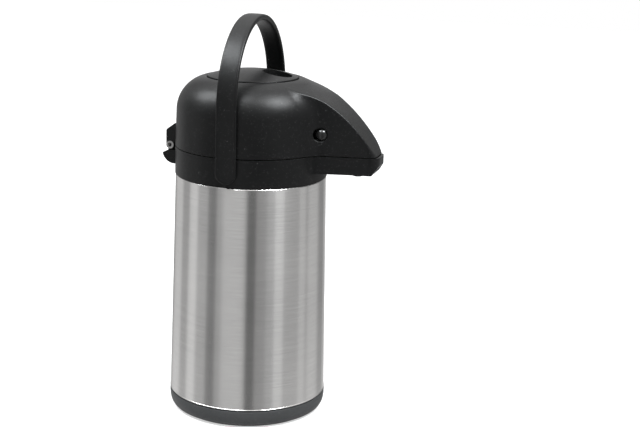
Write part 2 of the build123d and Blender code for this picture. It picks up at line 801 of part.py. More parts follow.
with BuildPart() as spout_nozzle:
    with BuildSketch(Plane.XY.offset(nozzle_bottom)):
        with Locations((nozzle_x, 0)):
            Circle(nozzle_radius)
    extrude(amount=jaw_bottom + plastic_wall - nozzle_bottom)
    with BuildSketch(Plane.XY.offset(jaw_bottom + plastic_wall)):
        with Locations((nozzle_x, 0)):
            Circle(nozzle_radius + nozzle_flange)
    extrude(amount=nozzle_flange)
    with BuildSketch(Plane.XY.offset(nozzle_bottom)):
        with Locations((nozzle_x, 0)):
            Circle(pipe_bore)
    extrude(amount=jaw_height, mode=Mode.SUBTRACT)
    with BuildSketch(Plane.XY.offset(pipe_end_z)):
        with Locations((nozzle_x, 0)):
            Circle(pipe_radius + fit_gap)
    extrude(amount=jaw_height, mode=Mode.SUBTRACT)
    rim = spout_nozzle.edges().filter_by(GeomType.CIRCLE).group_by(Axis.Z)[0].sort_by(SortBy.RADIUS)[-1]
    fillet(rim, nozzle_round)
spout_nozzle.part.label = "spout_nozzle"
export_step(spout_nozzle.part, "parts/spout_nozzle.step")

# hollow eyelets, fixed in the collar's lugs, on which the head's ears turn
lug_inner = ear_inner - loose_gap - lug_thickness
ear_outer = ear_inner + ear_thickness
with BuildPart() as hinge_eyelets:
    for side in (1, -1):
        with BuildSketch(Plane.XZ.offset(-side * lug_inner)):
            with Locations((hinge_x, hinge_z)):
                Circle(eyelet_radius)
        extrude(amount=-side * (ear_outer + fit_gap - lug_inner))
        with BuildSketch(Plane.XZ.offset(-side * (ear_outer + fit_gap))):
            with Locations((hinge_x, hinge_z)):
                Circle(eyelet_flange)
        extrude(amount=-side * eyelet_flange_thickness)
        with BuildSketch(Plane.XZ.offset(-side * (lug_inner - overcut))):
            with Locations((hinge_x, hinge_z)):
                Circle(eyelet_bore)
        extrude(amount=-side * (ear_outer + 3 * overcut - lug_inner), mode=Mode.SUBTRACT)
hinge_eyelets.part.label = "hinge_eyelets"
export_step(hinge_eyelets.part, "parts/hinge_eyelets.step")

# four long bosses inside the head for the base plate's screws, cut off inside the dome's skin
tongue_bottom = recess_floor_z + tab_lift
tongue_top = tongue_bottom + tab_plate_thickness
with BuildPart(mode=Mode.PRIVATE) as head_bosses:
    add(dome_solid(plastic_wall / 2))
    with BuildSketch(Plane.XY.offset(base_plate_top)):
        with PolarLocations(boss_circle, 4, 45):
            Circle(boss_radius)
            Circle(plate_screw_radius, mode=Mode.SUBTRACT)
    extrude(amount=dome_top - base_plate_top, mode=Mode.INTERSECT)


def on_beak_root(edge):
    """Whether an edge climbs from the seam along the corner between the dome and the beak."""
    low = min(edge.position_at(0), edge.position_at(1), key=lambda point: point.Z)
    on_dome_foot = abs(hypot(low.X, low.Y) - collar_radius) < near
    return on_dome_foot and abs(low.Z - head_bottom) < near and edge.center().Z > head_bottom + overcut


def on_beak_crease(edge):
    """Whether an edge runs between the beak's top and its side."""
    middle = edge.center()
    on_ridge = abs(hypot(middle.X, middle.Z - ridge_centre_z) - ridge_arc) < crease_near
    return on_ridge and abs(middle.Y) > nose_corner


# head shell: dome and beak, opening with its sleeve, bosses, button guides and hinge ears
with BuildPart() as head_shell:
    add(dome_solid(0))
    add(beak_solid(0, 0))
    fillet(head_shell.edges().filter_by(on_beak_root), root_blend / 2)
    fillet(head_shell.edges().filter_by(on_beak_crease), crease_radius)
    add(dome_solid(plastic_wall), mode=Mode.SUBTRACT)
    add(beak_solid(plastic_wall, crown_sink), mode=Mode.SUBTRACT)
    add(head_bosses.part)
    # lip and sleeve round the opening, in which the pump button slides
    with BuildSketch(Plane.XY.offset(dome_top - lip_depth)):
        Circle(sleeve_radius + sleeve_wall)
    extrude(amount=lip_depth - plastic_wall / 2)
    with BuildSketch(Plane.XY.offset(sleeve_bottom)):
        Circle(sleeve_radius + sleeve_wall)
        Circle(sleeve_radius, mode=Mode.SUBTRACT)
    extrude(amount=dome_top - lip_depth - sleeve_bottom)
    with BuildSketch(Plane.XY.offset(dome_top - lip_depth)):
        Circle(opening_radius)
    extrude(amount=2 * lip_depth, mode=Mode.SUBTRACT)
    # slot in the lip for the lock tab's tongue
    with BuildSketch(Plane.YZ.offset(button_radius)):
        with Locations((0, (tongue_bottom + tongue_top) / 2)):
            Rectangle(2 * (tab_plate_half + loose_gap), tab_plate_thickness + 2 * loose_gap)
    extrude(amount=lock_stroke + loose_gap, mode=Mode.SUBTRACT)
    # guide tube, hole and outer recess for each release button
    for side in (1, -1):
        with BuildSketch(Plane.XZ.offset(-side * eye_guide_y)):
            with Locations((eye_x, eye_z)):
                Circle(eye_radius + loose_gap + guide_wall)
        extrude(amount=-side * (eye_wall_y - plastic_wall / 2 - eye_guide_y))
        with BuildSketch(Plane.XZ.offset(-side * (eye_guide_y - overcut))):
            with Locations((eye_x, eye_z)):
                Circle(eye_radius + loose_gap)
        extrude(amount=-side * (beak_root_half - eye_guide_y + 2 * overcut), mode=Mode.SUBTRACT)
        with BuildSketch(Plane.XZ.offset(-side * (eye_wall_y - eye_recess_depth))):
            with Locations((eye_x, eye_z)):
                Circle(eye_recess_radius)
        extrude(amount=-side * (eye_recess_depth + 3 * overcut), mode=Mode.SUBTRACT)
    # hinge ears behind the back wall
    for side in (1, -1):
        with BuildSketch(Plane.XZ.offset(-side * ear_inner)):
            with BuildLine():
                back_x = hinge_x - ear_end
                wall_in = -collar_radius + plastic_wall
                base = (hinge_x + ear_end, hinge_z)
                Polyline(base, (hinge_x + ear_end, head_bottom), (wall_in, head_bottom),
                         (wall_in, ear_top_z + overcut), (wall_in - plastic_wall, ear_top_z),
                         (back_x + ear_blend, ear_back_z), (back_x, ear_back_z - ear_blend),
                         (back_x, hinge_z))
                ThreePointArc((back_x, hinge_z), (hinge_x, hinge_z - ear_end), base)
            make_face()
        extrude(amount=-side * ear_thickness)
        with BuildSketch(Plane.XZ.offset(-side * (ear_inner - overcut))):
            with Locations((hinge_x, hinge_z)):
                Circle(eyelet_radius + fit_gap)
        extrude(amount=-side * (ear_thickness + 2 * overcut), mode=Mode.SUBTRACT)
head_shell.part.label = "head_shell"
export_step(head_shell.part, "parts/head_shell.step")

# plate that closes the head from below, with a rib between the release buttons' springs
leg_inner_y = leg_outer_y - leg_thickness
with BuildPart() as head_base_plate:
    add(dome_solid(plastic_wall + loose_gap))
    add(beak_solid(plastic_wall + loose_gap, crown_sink))
    with BuildSketch(Plane.XY.offset(base_plate_bottom)):
        Rectangle(4 * collar_radius, 4 * collar_radius)
    extrude(amount=base_plate_thickness, mode=Mode.INTERSECT)
    with BuildSketch(Plane.XY.offset(base_plate_bottom)):
        Circle(bellows_port + fit_gap)
        with PolarLocations(boss_circle, 4, 45):
            Circle(plate_screw_radius + fit_gap)
        for side in (1, -1):
            with Locations((eye_x, side * (leg_outer_y - (leg_thickness + eye_travel) / 2))):
                Rectangle(leg_width + 2 * overcut, leg_thickness + eye_travel + 2 * overcut)
    extrude(amount=base_plate_thickness, mode=Mode.SUBTRACT)
    with BuildSketch(Plane.XY.offset(base_plate_top)):
        with Locations((eye_x, 0)):
            Rectangle(2 * eye_radius, 2 * rib_half)
    extrude(amount=eye_z + eye_radius - base_plate_top)
head_base_plate.part.label = "head_base_plate"
export_step(head_base_plate.part, "parts/head_base_plate.step")

# screws of the base plate
with BuildPart() as plate_screws:
    with BuildSketch(Plane.XY.offset(base_plate_bottom)):
        with PolarLocations(boss_circle, 4, 45):
            Circle(plate_screw_radius * screw_head_ratio)
    extrude(amount=-plate_screw_radius)
    with BuildSketch(Plane.XY.offset(base_plate_bottom)):
        with PolarLocations(boss_circle, 4, 45):
            Circle(plate_screw_radius)
    extrude(amount=base_plate_thickness + plate_screw_length)
plate_screws.part.label = "plate_screws"
export_step(plate_screws.part, "parts/plate_screws.step")

# bellows base: disc on the plate, a ring down through it and the air outlet
with BuildPart() as bellows_base:
    with BuildSketch(Plane.XY.offset(base_plate_top)):
        Circle(bellows_base_radius)
    extrude(amount=bellows_base_thickness)
    with BuildSketch(Plane.XY.offset(lid_gasket_bottom)):
        Circle(bellows_port)
        Circle(bellows_port - plastic_wall, mode=Mode.SUBTRACT)
    extrude(amount=base_plate_top - lid_gasket_bottom)
    with BuildSketch(Plane.XY.offset(base_plate_top)):
        with PolarLocations(outlet_circle, 4):
            Circle(outlet_radius)
        Circle(valve_stem_radius)
    extrude(amount=bellows_base_thickness, mode=Mode.SUBTRACT)
bellows_base.part.label = "bellows_base"
export_step(bellows_base.part, "parts/bellows_base.step")

# soft flap under the outlet holes, held by its stem
with BuildPart() as outlet_valve:
    with BuildSketch(Plane.XY.offset(base_plate_top)):
        Circle(outlet_circle + outlet_radius + flap_lap)
    extrude(amount=-flap_thickness)
    with BuildSketch(Plane.XY.offset(base_plate_top)):
        Circle(valve_stem_radius)
    extrude(amount=bellows_base_thickness)
    with BuildSketch(Plane.XY.offset(bellows_base_top)):
        Circle(valve_stem_radius * screw_head_ratio)
    extrude(amount=flap_thickness)
outlet_valve.part.label = "outlet_valve"
export_step(outlet_valve.part, "parts/outlet_valve.step")

# lid gasket round the bellows base's ring, over the stem head's rim
with BuildPart() as lid_gasket:
    with BuildSketch(Plane.XY.offset(lid_gasket_bottom)):
        Circle(cup_radius)
        Circle(bellows_port, mode=Mode.SUBTRACT)
    extrude(amount=base_plate_bottom - lid_gasket_bottom)
lid_gasket.part.label = "lid_gasket"
export_step(lid_gasket.part, "parts/lid_gasket.step")

# bellows between the base and the plunger: folds of a thin skin
with BuildPart() as bellows:
    with BuildSketch(Plane.XZ):
        with BuildLine():
            steps = 2 * bellows_folds
            rise = (plunger_bottom - bellows_base_top) / steps
            fold_cosine = rise / hypot(rise, bellows_fold)
            outer = [(bellows_radius - (i % 2) * bellows_fold, bellows_base_top + i * rise)
                     for i in range(steps + 1)]
            inner = [(r - bellows_skin / fold_cosine, z) for r, z in reversed(outer)]
            Polyline(*outer, *inner, close=True)
        make_face()
    revolve(axis=Axis.Z)
bellows.part.label = "bellows"
export_step(bellows.part, "parts/bellows.step")

# return spring inside the bellows
spring_height = plunger_bottom - bellows_base_top - 2 * spring_wire
with BuildPart() as return_spring:
    with BuildLine() as coil:
        Helix(pitch=spring_height / spring_turns, height=spring_height, radius=spring_radius,
              center=(0, 0, bellows_base_top + spring_wire))
    with BuildSketch(Plane(coil.line @ 0, z_dir=coil.line % 0)):
        Circle(spring_wire)
    sweep(path=coil.line, is_frenet=True)
return_spring.part.label = "return_spring"
export_step(return_spring.part, "parts/return_spring.step")

# plunger that closes the bellows' top, with the intake hole
with BuildPart() as plunger:
    with BuildSketch(Plane.XY.offset(plunger_bottom)):
        Circle(plunger_radius)
    extrude(amount=plunger_thickness)
    with BuildSketch(Plane.XY.offset(plunger_bottom)):
        Circle(spring_radius - spring_wire - spring_guide_gap)
    extrude(amount=-plunger_boss)
    with BuildSketch(Plane.XY.offset(plunger_bottom - plunger_boss)):
        Circle(valve_stem_radius)
    extrude(amount=plunger_boss + plunger_thickness, mode=Mode.SUBTRACT)
    with BuildSketch(Plane.XY.offset(plunger_bottom)):
        with PolarLocations(button_post_circle, 3, 90, 180):
            Circle(button_screw_radius + fit_gap)
    extrude(amount=plunger_thickness, mode=Mode.SUBTRACT)
plunger.part.label = "plunger"
export_step(plunger.part, "parts/plunger.step")

# intake flap under the plunger, held by its stem
with BuildPart() as intake_valve:
    with BuildSketch(Plane.XY.offset(plunger_bottom - plunger_boss)):
        Circle(valve_stem_radius * 3)
    extrude(amount=-flap_thickness)
    with BuildSketch(Plane.XY.offset(plunger_bottom - plunger_boss)):
        Circle(valve_stem_radius)
    extrude(amount=plunger_boss + plunger_thickness)
intake_valve.part.label = "intake_valve"
export_step(intake_valve.part, "parts/intake_valve.step")

# screws that hold the plunger to the button's posts
with BuildPart() as plunger_screws:
    with BuildSketch(Plane.XY.offset(plunger_bottom)):
        with PolarLocations(button_post_circle, 3, 90, 180):
            Circle(button_screw_radius * screw_head_ratio)
    extrude(amount=-button_screw_radius)
    with BuildSketch(Plane.XY.offset(plunger_bottom)):
        with PolarLocations(button_post_circle, 3, 90, 180):
            Circle(button_screw_radius)
    extrude(amount=plunger_thickness + button_screw_length)
plunger_screws.part.label = "plunger_screws"
export_step(plunger_screws.part, "parts/plunger_screws.step")

crown_z = ridge_centre_z + ridge_arc
rim_z = ridge_centre_z + sqrt(ridge_arc**2 - button_radius**2)
under_r = button_radius - button_skirt
under_z = ridge_centre_z + sqrt((ridge_arc - button_skin) ** 2 - under_r**2)
half_r = button_radius / 2
half_z = ridge_centre_z + sqrt(ridge_arc**2 - half_r**2)
half_under_z = ridge_centre_z + sqrt((ridge_arc - button_skin) ** 2 - half_r**2)

# recess cup and screw posts under the button's disc, cut off inside its skin
with BuildPart(mode=Mode.PRIVATE) as button_cup:
    with BuildSketch(Plane.XY.offset(recess_floor_z - recess_skin)):
        with Locations((recess_x, 0)):
            Circle(recess_radius + recess_skin)
    extrude(amount=crown_z - recess_floor_z)
    with BuildSketch(Plane.XY.offset(plunger_top_z)):
        with PolarLocations(button_post_circle, 3, 90, 180):
            Circle(button_post_radius)
    extrude(amount=crown_z - plunger_top_z)
    with Locations((0, 0, ridge_centre_z)):
        Sphere(ridge_arc - button_skin / 2, mode=Mode.INTERSECT)

# pump button: crowned disc with a skirt, posts and the round finger recess
with BuildPart() as pump_button:
    with BuildSketch(Plane.XZ):
        with BuildLine():
            ThreePointArc((0, crown_z), (half_r, half_z), (button_radius, rim_z))
            Polyline((button_radius, rim_z), (button_radius, skirt_flange_top),
                     (sleeve_radius - skirt_gap, skirt_flange_top),
                     (sleeve_radius - skirt_gap, skirt_bottom), (under_r, skirt_bottom),
                     (under_r, under_z))
            ThreePointArc((under_r, under_z), (half_r, half_under_z), (0, crown_z - button_skin))
            Line((0, crown_z - button_skin), (0, crown_z))
        make_face()
    revolve(axis=Axis.Z)
    top_rim = pump_button.edges().filter_by(lambda e: e.length > 6 * button_radius).sort_by(Axis.Z)[-1]
    fillet(top_rim, button_edge)
    add(button_cup.part)
    with BuildSketch(Plane.XY.offset(plunger_top_z)):
        with PolarLocations(button_post_circle, 3, 90, 180):
            Circle(button_screw_radius)
    extrude(amount=button_screw_length, mode=Mode.SUBTRACT)
    with BuildSketch(Plane.XY.offset(recess_floor_z)):
        with Locations((recess_x, 0)):
            Circle(recess_radius)
    extrude(amount=crown_z - recess_floor_z, mode=Mode.SUBTRACT)
    with BuildSketch(Plane.YZ.offset(recess_x + recess_radius / 2)):
        with Locations((0, (tongue_bottom + tongue_top) / 2)):
            Rectangle(2 * (tab_plate_half + loose_gap), tab_plate_thickness + 2 * loose_gap)
    extrude(amount=sleeve_radius - recess_x, mode=Mode.SUBTRACT)
    # bevelled lip round the recess, square to the crowned top there
    lip_z = ridge_centre_z + sqrt(ridge_arc**2 - recess_x**2)
    with Locations(Location((recess_x, 0, lip_z), (0, degrees(asin(recess_x / ridge_arc)), 0))):
        Cone(recess_radius - recess_lip, recess_radius + 2 * recess_lip, 3 * recess_lip,
             align=(Align.CENTER, Align.CENTER, Align.CENTER), mode=Mode.SUBTRACT)
pump_button.part.label = "pump_button"
export_step(pump_button.part, "parts/pump_button.step")

# lock tab: a finger rib on a sliding tongue in the recess
with BuildPart() as lock_tab:
    with BuildSketch(Plane.XY.offset(tongue_bottom)):
        with Locations((tab_back_x, 0)):
            Rectangle(button_radius - loose_gap - tab_back_x, 2 * tab_plate_half,
                      align=(Align.MIN, Align.CENTER))
    extrude(amount=tab_plate_thickness)
    with BuildSketch(Plane.XY.offset(tongue_top)):
        with Locations((tab_back_x, 0)):
            Rectangle(tab_thickness, 2 * tab_rib_half, align=(Align.MIN, Align.CENTER))
    extrude(amount=tab_top_z - tongue_top)
    fillet(lock_tab.edges().group_by(Axis.Z)[-1], tab_thickness / 3)
lock_tab.part.label = "lock_tab"
export_step(lock_tab.part, "parts/lock_tab.step")


def release_button(side):
    """One release button: domed cap, flange behind its guide and a leg down into the jaw."""
    with BuildPart(mode=Mode.PRIVATE) as button:
        with BuildSketch(Plane.XZ.offset(-side * leg_outer_y)):
            with Locations((eye_x, eye_z)):
                Circle(eye_radius)
        extrude(amount=-side * (eye_wall_y + eye_proud - leg_outer_y))
        dome_edge = button.edges().filter_by(GeomType.CIRCLE).sort_by(Axis.Y)[-1 if side > 0 else 0]
        fillet(dome_edge, eye_dome)
        with BuildSketch(Plane.XZ.offset(-side * leg_outer_y)):
            with Locations((eye_x, eye_z)):
                Circle(eye_flange_radius)
        extrude(amount=-side * (eye_guide_y - 2 * slip_gap - leg_outer_y))
        with BuildSketch(Plane.XZ.offset(-side * leg_outer_y)):
            with Locations((eye_x, leg_bottom)):
                Rectangle(leg_width, eye_z + eye_radius - leg_bottom, align=(Align.CENTER, Align.MIN))
        extrude(amount=side * leg_thickness)
    return button.part


# release buttons, seen as the eyes in the beak's sides
with BuildPart() as release_button_left:
    add(release_button(1))
release_button_left.part.label = "release_button_left"
export_step(release_button_left.part, "parts/release_button_left.step")

with BuildPart() as release_button_right:
    add(release_button(-1))
release_button_right.part.label = "release_button_right"
export_step(release_button_right.part, "parts/release_button_right.step")


def release_spring(side):
    """Coil spring from the base plate's rib to a release button's leg."""
    length = leg_inner_y - rib_half - 2 * eye_spring_wire
    with BuildPart(mode=Mode.PRIVATE) as spring:
        with BuildLine() as turns:
            Helix(pitch=length / eye_spring_turns, height=length, radius=eye_spring_radius,
                  center=(eye_x, side * (rib_half + eye_spring_wire), eye_z), direction=(0, side, 0))
        with BuildSketch(Plane(turns.line @ 0, z_dir=turns.line % 0)):
            Circle(eye_spring_wire)
        sweep(path=turns.line, is_frenet=True)
    return spring.part


with BuildPart() as release_spring_left:
    add(release_spring(1))
release_spring_left.part.label = "release_spring_left"
export_step(release_spring_left.part, "parts/release_spring_left.step")

with BuildPart() as release_spring_right:
    add(release_spring(-1))
release_spring_right.part.label = "release_spring_right"
export_step(release_spring_right.part, "parts/release_spring_right.step")

# carry handle: a strap bent to an arch, narrower at the crown, with rounded lower ends
with BuildPart() as carry_handle:
    with BuildSketch(Plane.YZ):
        with BuildLine():
            foot_z = pivot_z - leg_half_width
            ThreePointArc((-handle_outer, arch_z), (0, arch_z + handle_outer), (handle_outer, arch_z))
            Line((handle_outer, arch_z), (handle_outer, foot_z))
            Line((handle_outer, foot_z), (leg_inner, foot_z))
            Line((leg_inner, foot_z), (leg_inner, arch_z))
            crown_under = arch_z + handle_outer - crown_thickness
            ThreePointArc((leg_inner, arch_z), (0, crown_under), (-leg_inner, arch_z))
            Line((-leg_inner, arch_z), (-leg_inner, foot_z))
            Line((-leg_inner, foot_z), (-handle_outer, foot_z))
            Line((-handle_outer, foot_z), (-handle_outer, arch_z))
        make_face()
    extrude(amount=2 * leg_half_width, both=True)
    with BuildSketch(Plane.XZ):
        crown_z_top = arch_z + handle_outer
        with BuildLine():
            Polyline((-leg_half_width, pivot_z), (-crown_half_width, crown_z_top),
                     (crown_half_width, crown_z_top), (leg_half_width, pivot_z), close=True)
        make_face()
        with Locations((0, pivot_z)):
            Circle(leg_half_width)
    extrude(amount=handle_outer + overcut, both=True, mode=Mode.INTERSECT)
    fillet(carry_handle.edges(), handle_edge)
    for side in (1, -1):
        with BuildSketch(Plane.XZ.offset(-side * (leg_inner - overcut))):
            with Locations((0, pivot_z)):
                Circle(pin_radius)
        extrude(amount=-side * (pin_socket + overcut), mode=Mode.SUBTRACT)
carry_handle.part.label = "carry_handle"
export_step(carry_handle.part, "parts/carry_handle.step")

# bushes in the collar's pads, pins through them and clips on the pins' inner ends
bush_end = leg_inner - loose_gap
with BuildPart() as handle_bushes:
    for side in (1, -1):
        with BuildSketch(Plane.XZ.offset(-side * (bush_inner_y - bush_flange - fit_gap))):
            with Locations((0, pivot_z)):
                Circle(bush_radius)
        extrude(amount=-side * (bush_end - bush_inner_y + bush_flange + fit_gap))
        with BuildSketch(Plane.XZ.offset(-side * (bush_inner_y - bush_flange - fit_gap))):
            with Locations((0, pivot_z)):
                Circle(bush_flange_radius)
        extrude(amount=-side * bush_flange)
        with BuildSketch(Plane.XZ.offset(-side * (bush_inner_y - bush_flange - overcut))):
            with Locations((0, pivot_z)):
                Circle(pin_radius + fit_gap)
        extrude(amount=-side * (bush_end - bush_inner_y + bush_flange + 2 * overcut), mode=Mode.SUBTRACT)
handle_bushes.part.label = "handle_bushes"
export_step(handle_bushes.part, "parts/handle_bushes.step")

with BuildPart() as handle_pins:
    for side in (1, -1):
        with BuildSketch(Plane.XZ.offset(-side * pin_inner_y)):
            with Locations((0, pivot_z)):
                Circle(pin_radius)
        extrude(amount=-side * (leg_inner + pin_socket - pin_inner_y))
handle_pins.part.label = "handle_pins"
export_step(handle_pins.part, "parts/handle_pins.step")

clip_outer_y = bush_inner_y - bush_flange - loose_gap
with BuildPart() as handle_clips:
    for side in (1, -1):
        with BuildSketch(Plane.XZ.offset(-side * clip_outer_y)):
            with Locations((0, pivot_z)):
                Circle(clip_radius)
                Circle(pin_radius, mode=Mode.SUBTRACT)
        extrude(amount=side * clip_thickness)
handle_clips.part.label = "handle_clips"
export_step(handle_clips.part, "parts/handle_clips.step")
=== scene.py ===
"""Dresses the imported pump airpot: finishes for every piece, soft shells where the real one is soft,
a pale studio and the camera. Metres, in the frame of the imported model."""
from math import asin, cos, pi, radians, sin, sqrt

import bmesh
import bpy
import numpy as np
from mathutils import Matrix, Vector


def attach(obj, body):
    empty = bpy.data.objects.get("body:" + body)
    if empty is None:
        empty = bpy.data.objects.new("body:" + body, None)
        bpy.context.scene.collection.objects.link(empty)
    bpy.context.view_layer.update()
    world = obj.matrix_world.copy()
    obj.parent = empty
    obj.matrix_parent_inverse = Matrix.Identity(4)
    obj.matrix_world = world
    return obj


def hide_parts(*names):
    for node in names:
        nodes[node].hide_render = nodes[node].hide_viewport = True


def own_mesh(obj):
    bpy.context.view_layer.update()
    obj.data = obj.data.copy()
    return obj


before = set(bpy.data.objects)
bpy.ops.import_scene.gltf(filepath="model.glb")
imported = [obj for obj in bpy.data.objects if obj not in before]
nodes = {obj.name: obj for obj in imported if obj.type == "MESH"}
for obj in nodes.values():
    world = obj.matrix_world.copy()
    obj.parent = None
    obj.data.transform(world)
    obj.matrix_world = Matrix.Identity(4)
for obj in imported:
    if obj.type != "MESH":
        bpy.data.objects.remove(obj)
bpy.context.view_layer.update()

# Foot ring: black rubber, moulded, pressed into its groove in the turntable plate. It carries the
# whole pot, so it is dull and a little dusty near the floor.


class Signal:
    """A number or colour that varies over a surface. Python's operators on it add Math nodes."""

    def __init__(self, finish, socket):
        self.finish = finish
        self.socket = socket

    def join(self, operation, first, second):
        return self.finish.node("Math", {0: first, 1: second}, operation=operation)

    def __add__(self, other):
        return self.join("ADD", self, other)

    def __radd__(self, other):
        return self.join("ADD", other, self)

    def __sub__(self, other):
        return self.join("SUBTRACT", self, other)

    def __rsub__(self, other):
        return self.join("SUBTRACT", other, self)

    def __mul__(self, other):
        return self.join("MULTIPLY", self, other)

    def __rmul__(self, other):
        return self.join("MULTIPLY", other, self)

    def between(self, low, high, start=0.0, end=1.0):
        """Start below low, end above high, and a smooth step from one to the other."""
        places = {"Value": self, "From Min": low, "From Max": high, "To Min": start, "To Max": end}
        return self.finish.node("MapRange", places, interpolation_type="SMOOTHSTEP")


class Finish:
    """The nodes of one material. Each call of node adds one node and gives back what comes out of it."""

    def __init__(self, name):
        self.material = bpy.data.materials.new(name)
        self.material.use_nodes = True
        self.tree = self.material.node_tree
        self.tree.nodes.clear()

    def node(self, kind, places=None, out=0, **settings):
        """Adds a node: its settings first, then the value or link of each socket."""
        made = self.tree.nodes.new("ShaderNode" + kind)
        for setting, value in settings.items():
            setattr(made, setting, value)
        for place, value in (places or {}).items():
            if isinstance(value, Signal):
                self.tree.links.new(value.socket, made.inputs[place])
            else:
                made.inputs[place].default_value = value
        return Signal(self, made.outputs[out]) if made.outputs else None

    def where(self, stretch=(1.0, 1.0, 1.0)):
        """The point of the surface in metres, with each axis stretched by its own factor."""
        spot = self.node("TexCoord", out="Object")
        return self.node("Mapping", {"Vector": spot, "Scale": stretch})

    def noise(self, scale, detail=2.0, stretch=(1.0, 1.0, 1.0)):
        """Cloudy noise round 0.5 with this many clouds to a metre."""
        places = {"Vector": self.where(stretch), "Scale": scale, "Detail": detail}
        return self.node("TexNoise", places)

    def specks(self, scale, size):
        """One at small round specks, one speck to a cell, and zero between them."""
        cell = self.node("TexVoronoi", {"Vector": self.where(), "Scale": scale})
        return cell.between(size, size * 0.5)

    def mix(self, share, low, high):
        """Blends two colours by a share."""
        return self.node("Mix", {0: share, 6: low, 7: high}, out=2, data_type="RGBA")

    def bump(self, height, depth, strength=1.0, under=None):
        """Normals of a relief: height from 0 to 1 stands for a depth in metres."""
        places = {"Height": height, "Distance": depth, "Strength": strength}
        if under:
            places["Normal"] = under
        return self.node("Bump", places)

    def surface(self, colour, roughness, normal=None, **plain):
        """Ends the material in a principled shader. Plain values go on its own sockets."""
        places = {"Base Color": colour, "Roughness": roughness}
        if normal:
            places["Normal"] = normal
        for name, value in plain.items():
            places[name.replace("_", " ")] = value
        shader = self.node("BsdfPrincipled", places)
        self.node("OutputMaterial", {"Surface": shader})
        return self.material


def grey(level, warm=0.0):
    """A grey as a colour, a little warm or, with a minus sign, a little blue."""
    return (level * (1 + warm), level, level * (1 - warm), 1.0)


def paint(material, *names):
    """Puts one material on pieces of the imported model, in place of their plain ones."""
    for name in names:
        mesh = nodes[name].data
        mesh.materials.clear()
        mesh.materials.append(material)


rubber = Finish("foot_rubber")
dust = rubber.noise(90.0, 4.0).between(0.45, 0.75)
skin = rubber.bump(rubber.noise(1900.0), 0.00012, 0.6)
foot_rubber = rubber.surface(rubber.mix(dust, grey(0.018), grey(0.06, 0.06)), 0.78 + dust * 0.12, skin)
paint(foot_rubber, "foot_ring")

# Turntable: a black plate and a white slip ring under the base cap, with a washer and a screw that
# hold them on the hub. The pot turns on them while the foot ring stays still.
white = Finish("white_plastic")
cloud = white.noise(45.0, 3.0)
pores = white.bump(white.noise(2400.0), 0.00003, 0.5)
white_plastic = white.surface(white.mix(cloud, grey(0.62, 0.02), grey(0.74, 0.01)), 0.38 + cloud * 0.14,
                              pores)

zinc = Finish("zinc_plated_steel")
spangle = zinc.node("TexVoronoi", {"Vector": zinc.where(), "Scale": 420.0}, out="Color")
spangle_grey = zinc.node("SeparateColor", {"Color": spangle})
rolling_marks = zinc.bump(zinc.noise(900.0, 3.0, (1.0, 1.0, 4.0)), 0.00003, 0.5)
zinc_steel = zinc.surface(zinc.mix(spangle_grey, grey(0.50), grey(0.66, 0.02)), 0.26 + spangle_grey * 0.12,
                          rolling_marks, Metallic=1.0)


def black_plastic(name, level, roughness, grain_depth):
    """Satin black moulding: fine spark-eroded grain, cloudy gloss, a few pale dust specks and tiny painted
    glints.
    """
    finish = Finish(name)
    grain = finish.noise(1500.0, 3.0)
    cloud = finish.noise(38.0, 4.0)
    dusty = finish.specks(150.0, 0.07) * finish.noise(75.0).between(0.45, 0.6)
    # tiny pale specks painted into the colour as glints of light on the grain
    painted_glints = finish.specks(560.0, 0.3) * finish.noise(300.0, 1.0).between(0.42, 0.56)
    shade = finish.mix(cloud, grey(level * 0.8, -0.04), grey(level * 1.25, -0.02))
    colour = finish.mix(dusty, finish.mix(painted_glints, shade, grey(level + 0.017)), grey(0.16))
    rough = roughness - 0.05 + cloud * 0.1 + dusty * 0.1
    return finish.surface(colour, rough, finish.bump(grain, grain_depth, 0.8), Specular_IOR_Level=0.28)


shell_black = black_plastic("shell_black", 0.0042, 0.36, 0.00012)
base_black = black_plastic("base_black", 0.045, 0.42, 0.00006)
paint(base_black, "swivel_plate")
paint(white_plastic, "slip_ring")
paint(zinc_steel, "swivel_washer", "swivel_screw")

# Base cap: black moulding pushed into the casing's lower end. Its skirt flares to the hem and stands
# a little above the floor on the foot ring.
paint(base_black, "base_cap")
mm = 0.001
# the skirt's outside from its seam to its rounded foot, then its inside, as radius and height in millimetres
skirt_outside = [(76.4, 17.3), (77.3, 17.3), (77.65, 17.0), (77.8, 16.2), (77.75, 12.0), (77.3, 8.4),
                 (76.5, 5.8), (75.4, 3.9), (74.0, 2.9), (72.8, 2.6)]
skirt_inside = [(72.8, 3.2), (74.4, 4.2), (75.0, 6.0), (76.3, 13.0), (76.4, 16.0)]
skirt_corners = 180     # points to a ring


def show(name, data):
    """Puts a mesh, a lamp or a camera into the scene as an object."""
    shown = bpy.data.objects.new(name, data)
    bpy.context.scene.collection.objects.link(shown)
    return shown


def ring_piece(name, rings, looped):
    """A piece from rings of points, each ring joined to the next by a row of four-sided faces. Looped rings
    join the last to the first, and otherwise a flat face closes each end."""
    count, around = rings.shape[:2]
    corner = np.arange(count * around).reshape(count, around)
    ends = [] if looped else [corner[0, ::-1].tolist(), corner[-1].tolist()]
    if looped:
        corner = np.concatenate([corner, corner[:1]])
    after = np.roll(corner, -1, axis=1)
    rows = np.stack([corner[:-1], after[:-1], after[1:], corner[1:]], axis=2)
    mesh = bpy.data.meshes.new(name)
    mesh.from_pydata(rings.reshape(-1, 3).tolist(), [], rows.reshape(-1, 4).tolist() + ends)
    mesh.update()
    return show(name, mesh)


def smooth(piece, degrees):
    """Smooth shading, with edges sharper than this many degrees kept crisp."""
    piece.data.polygons.foreach_set("use_smooth", [True] * len(piece.data.polygons))
    piece.data.set_sharp_from_angle(angle=radians(degrees))


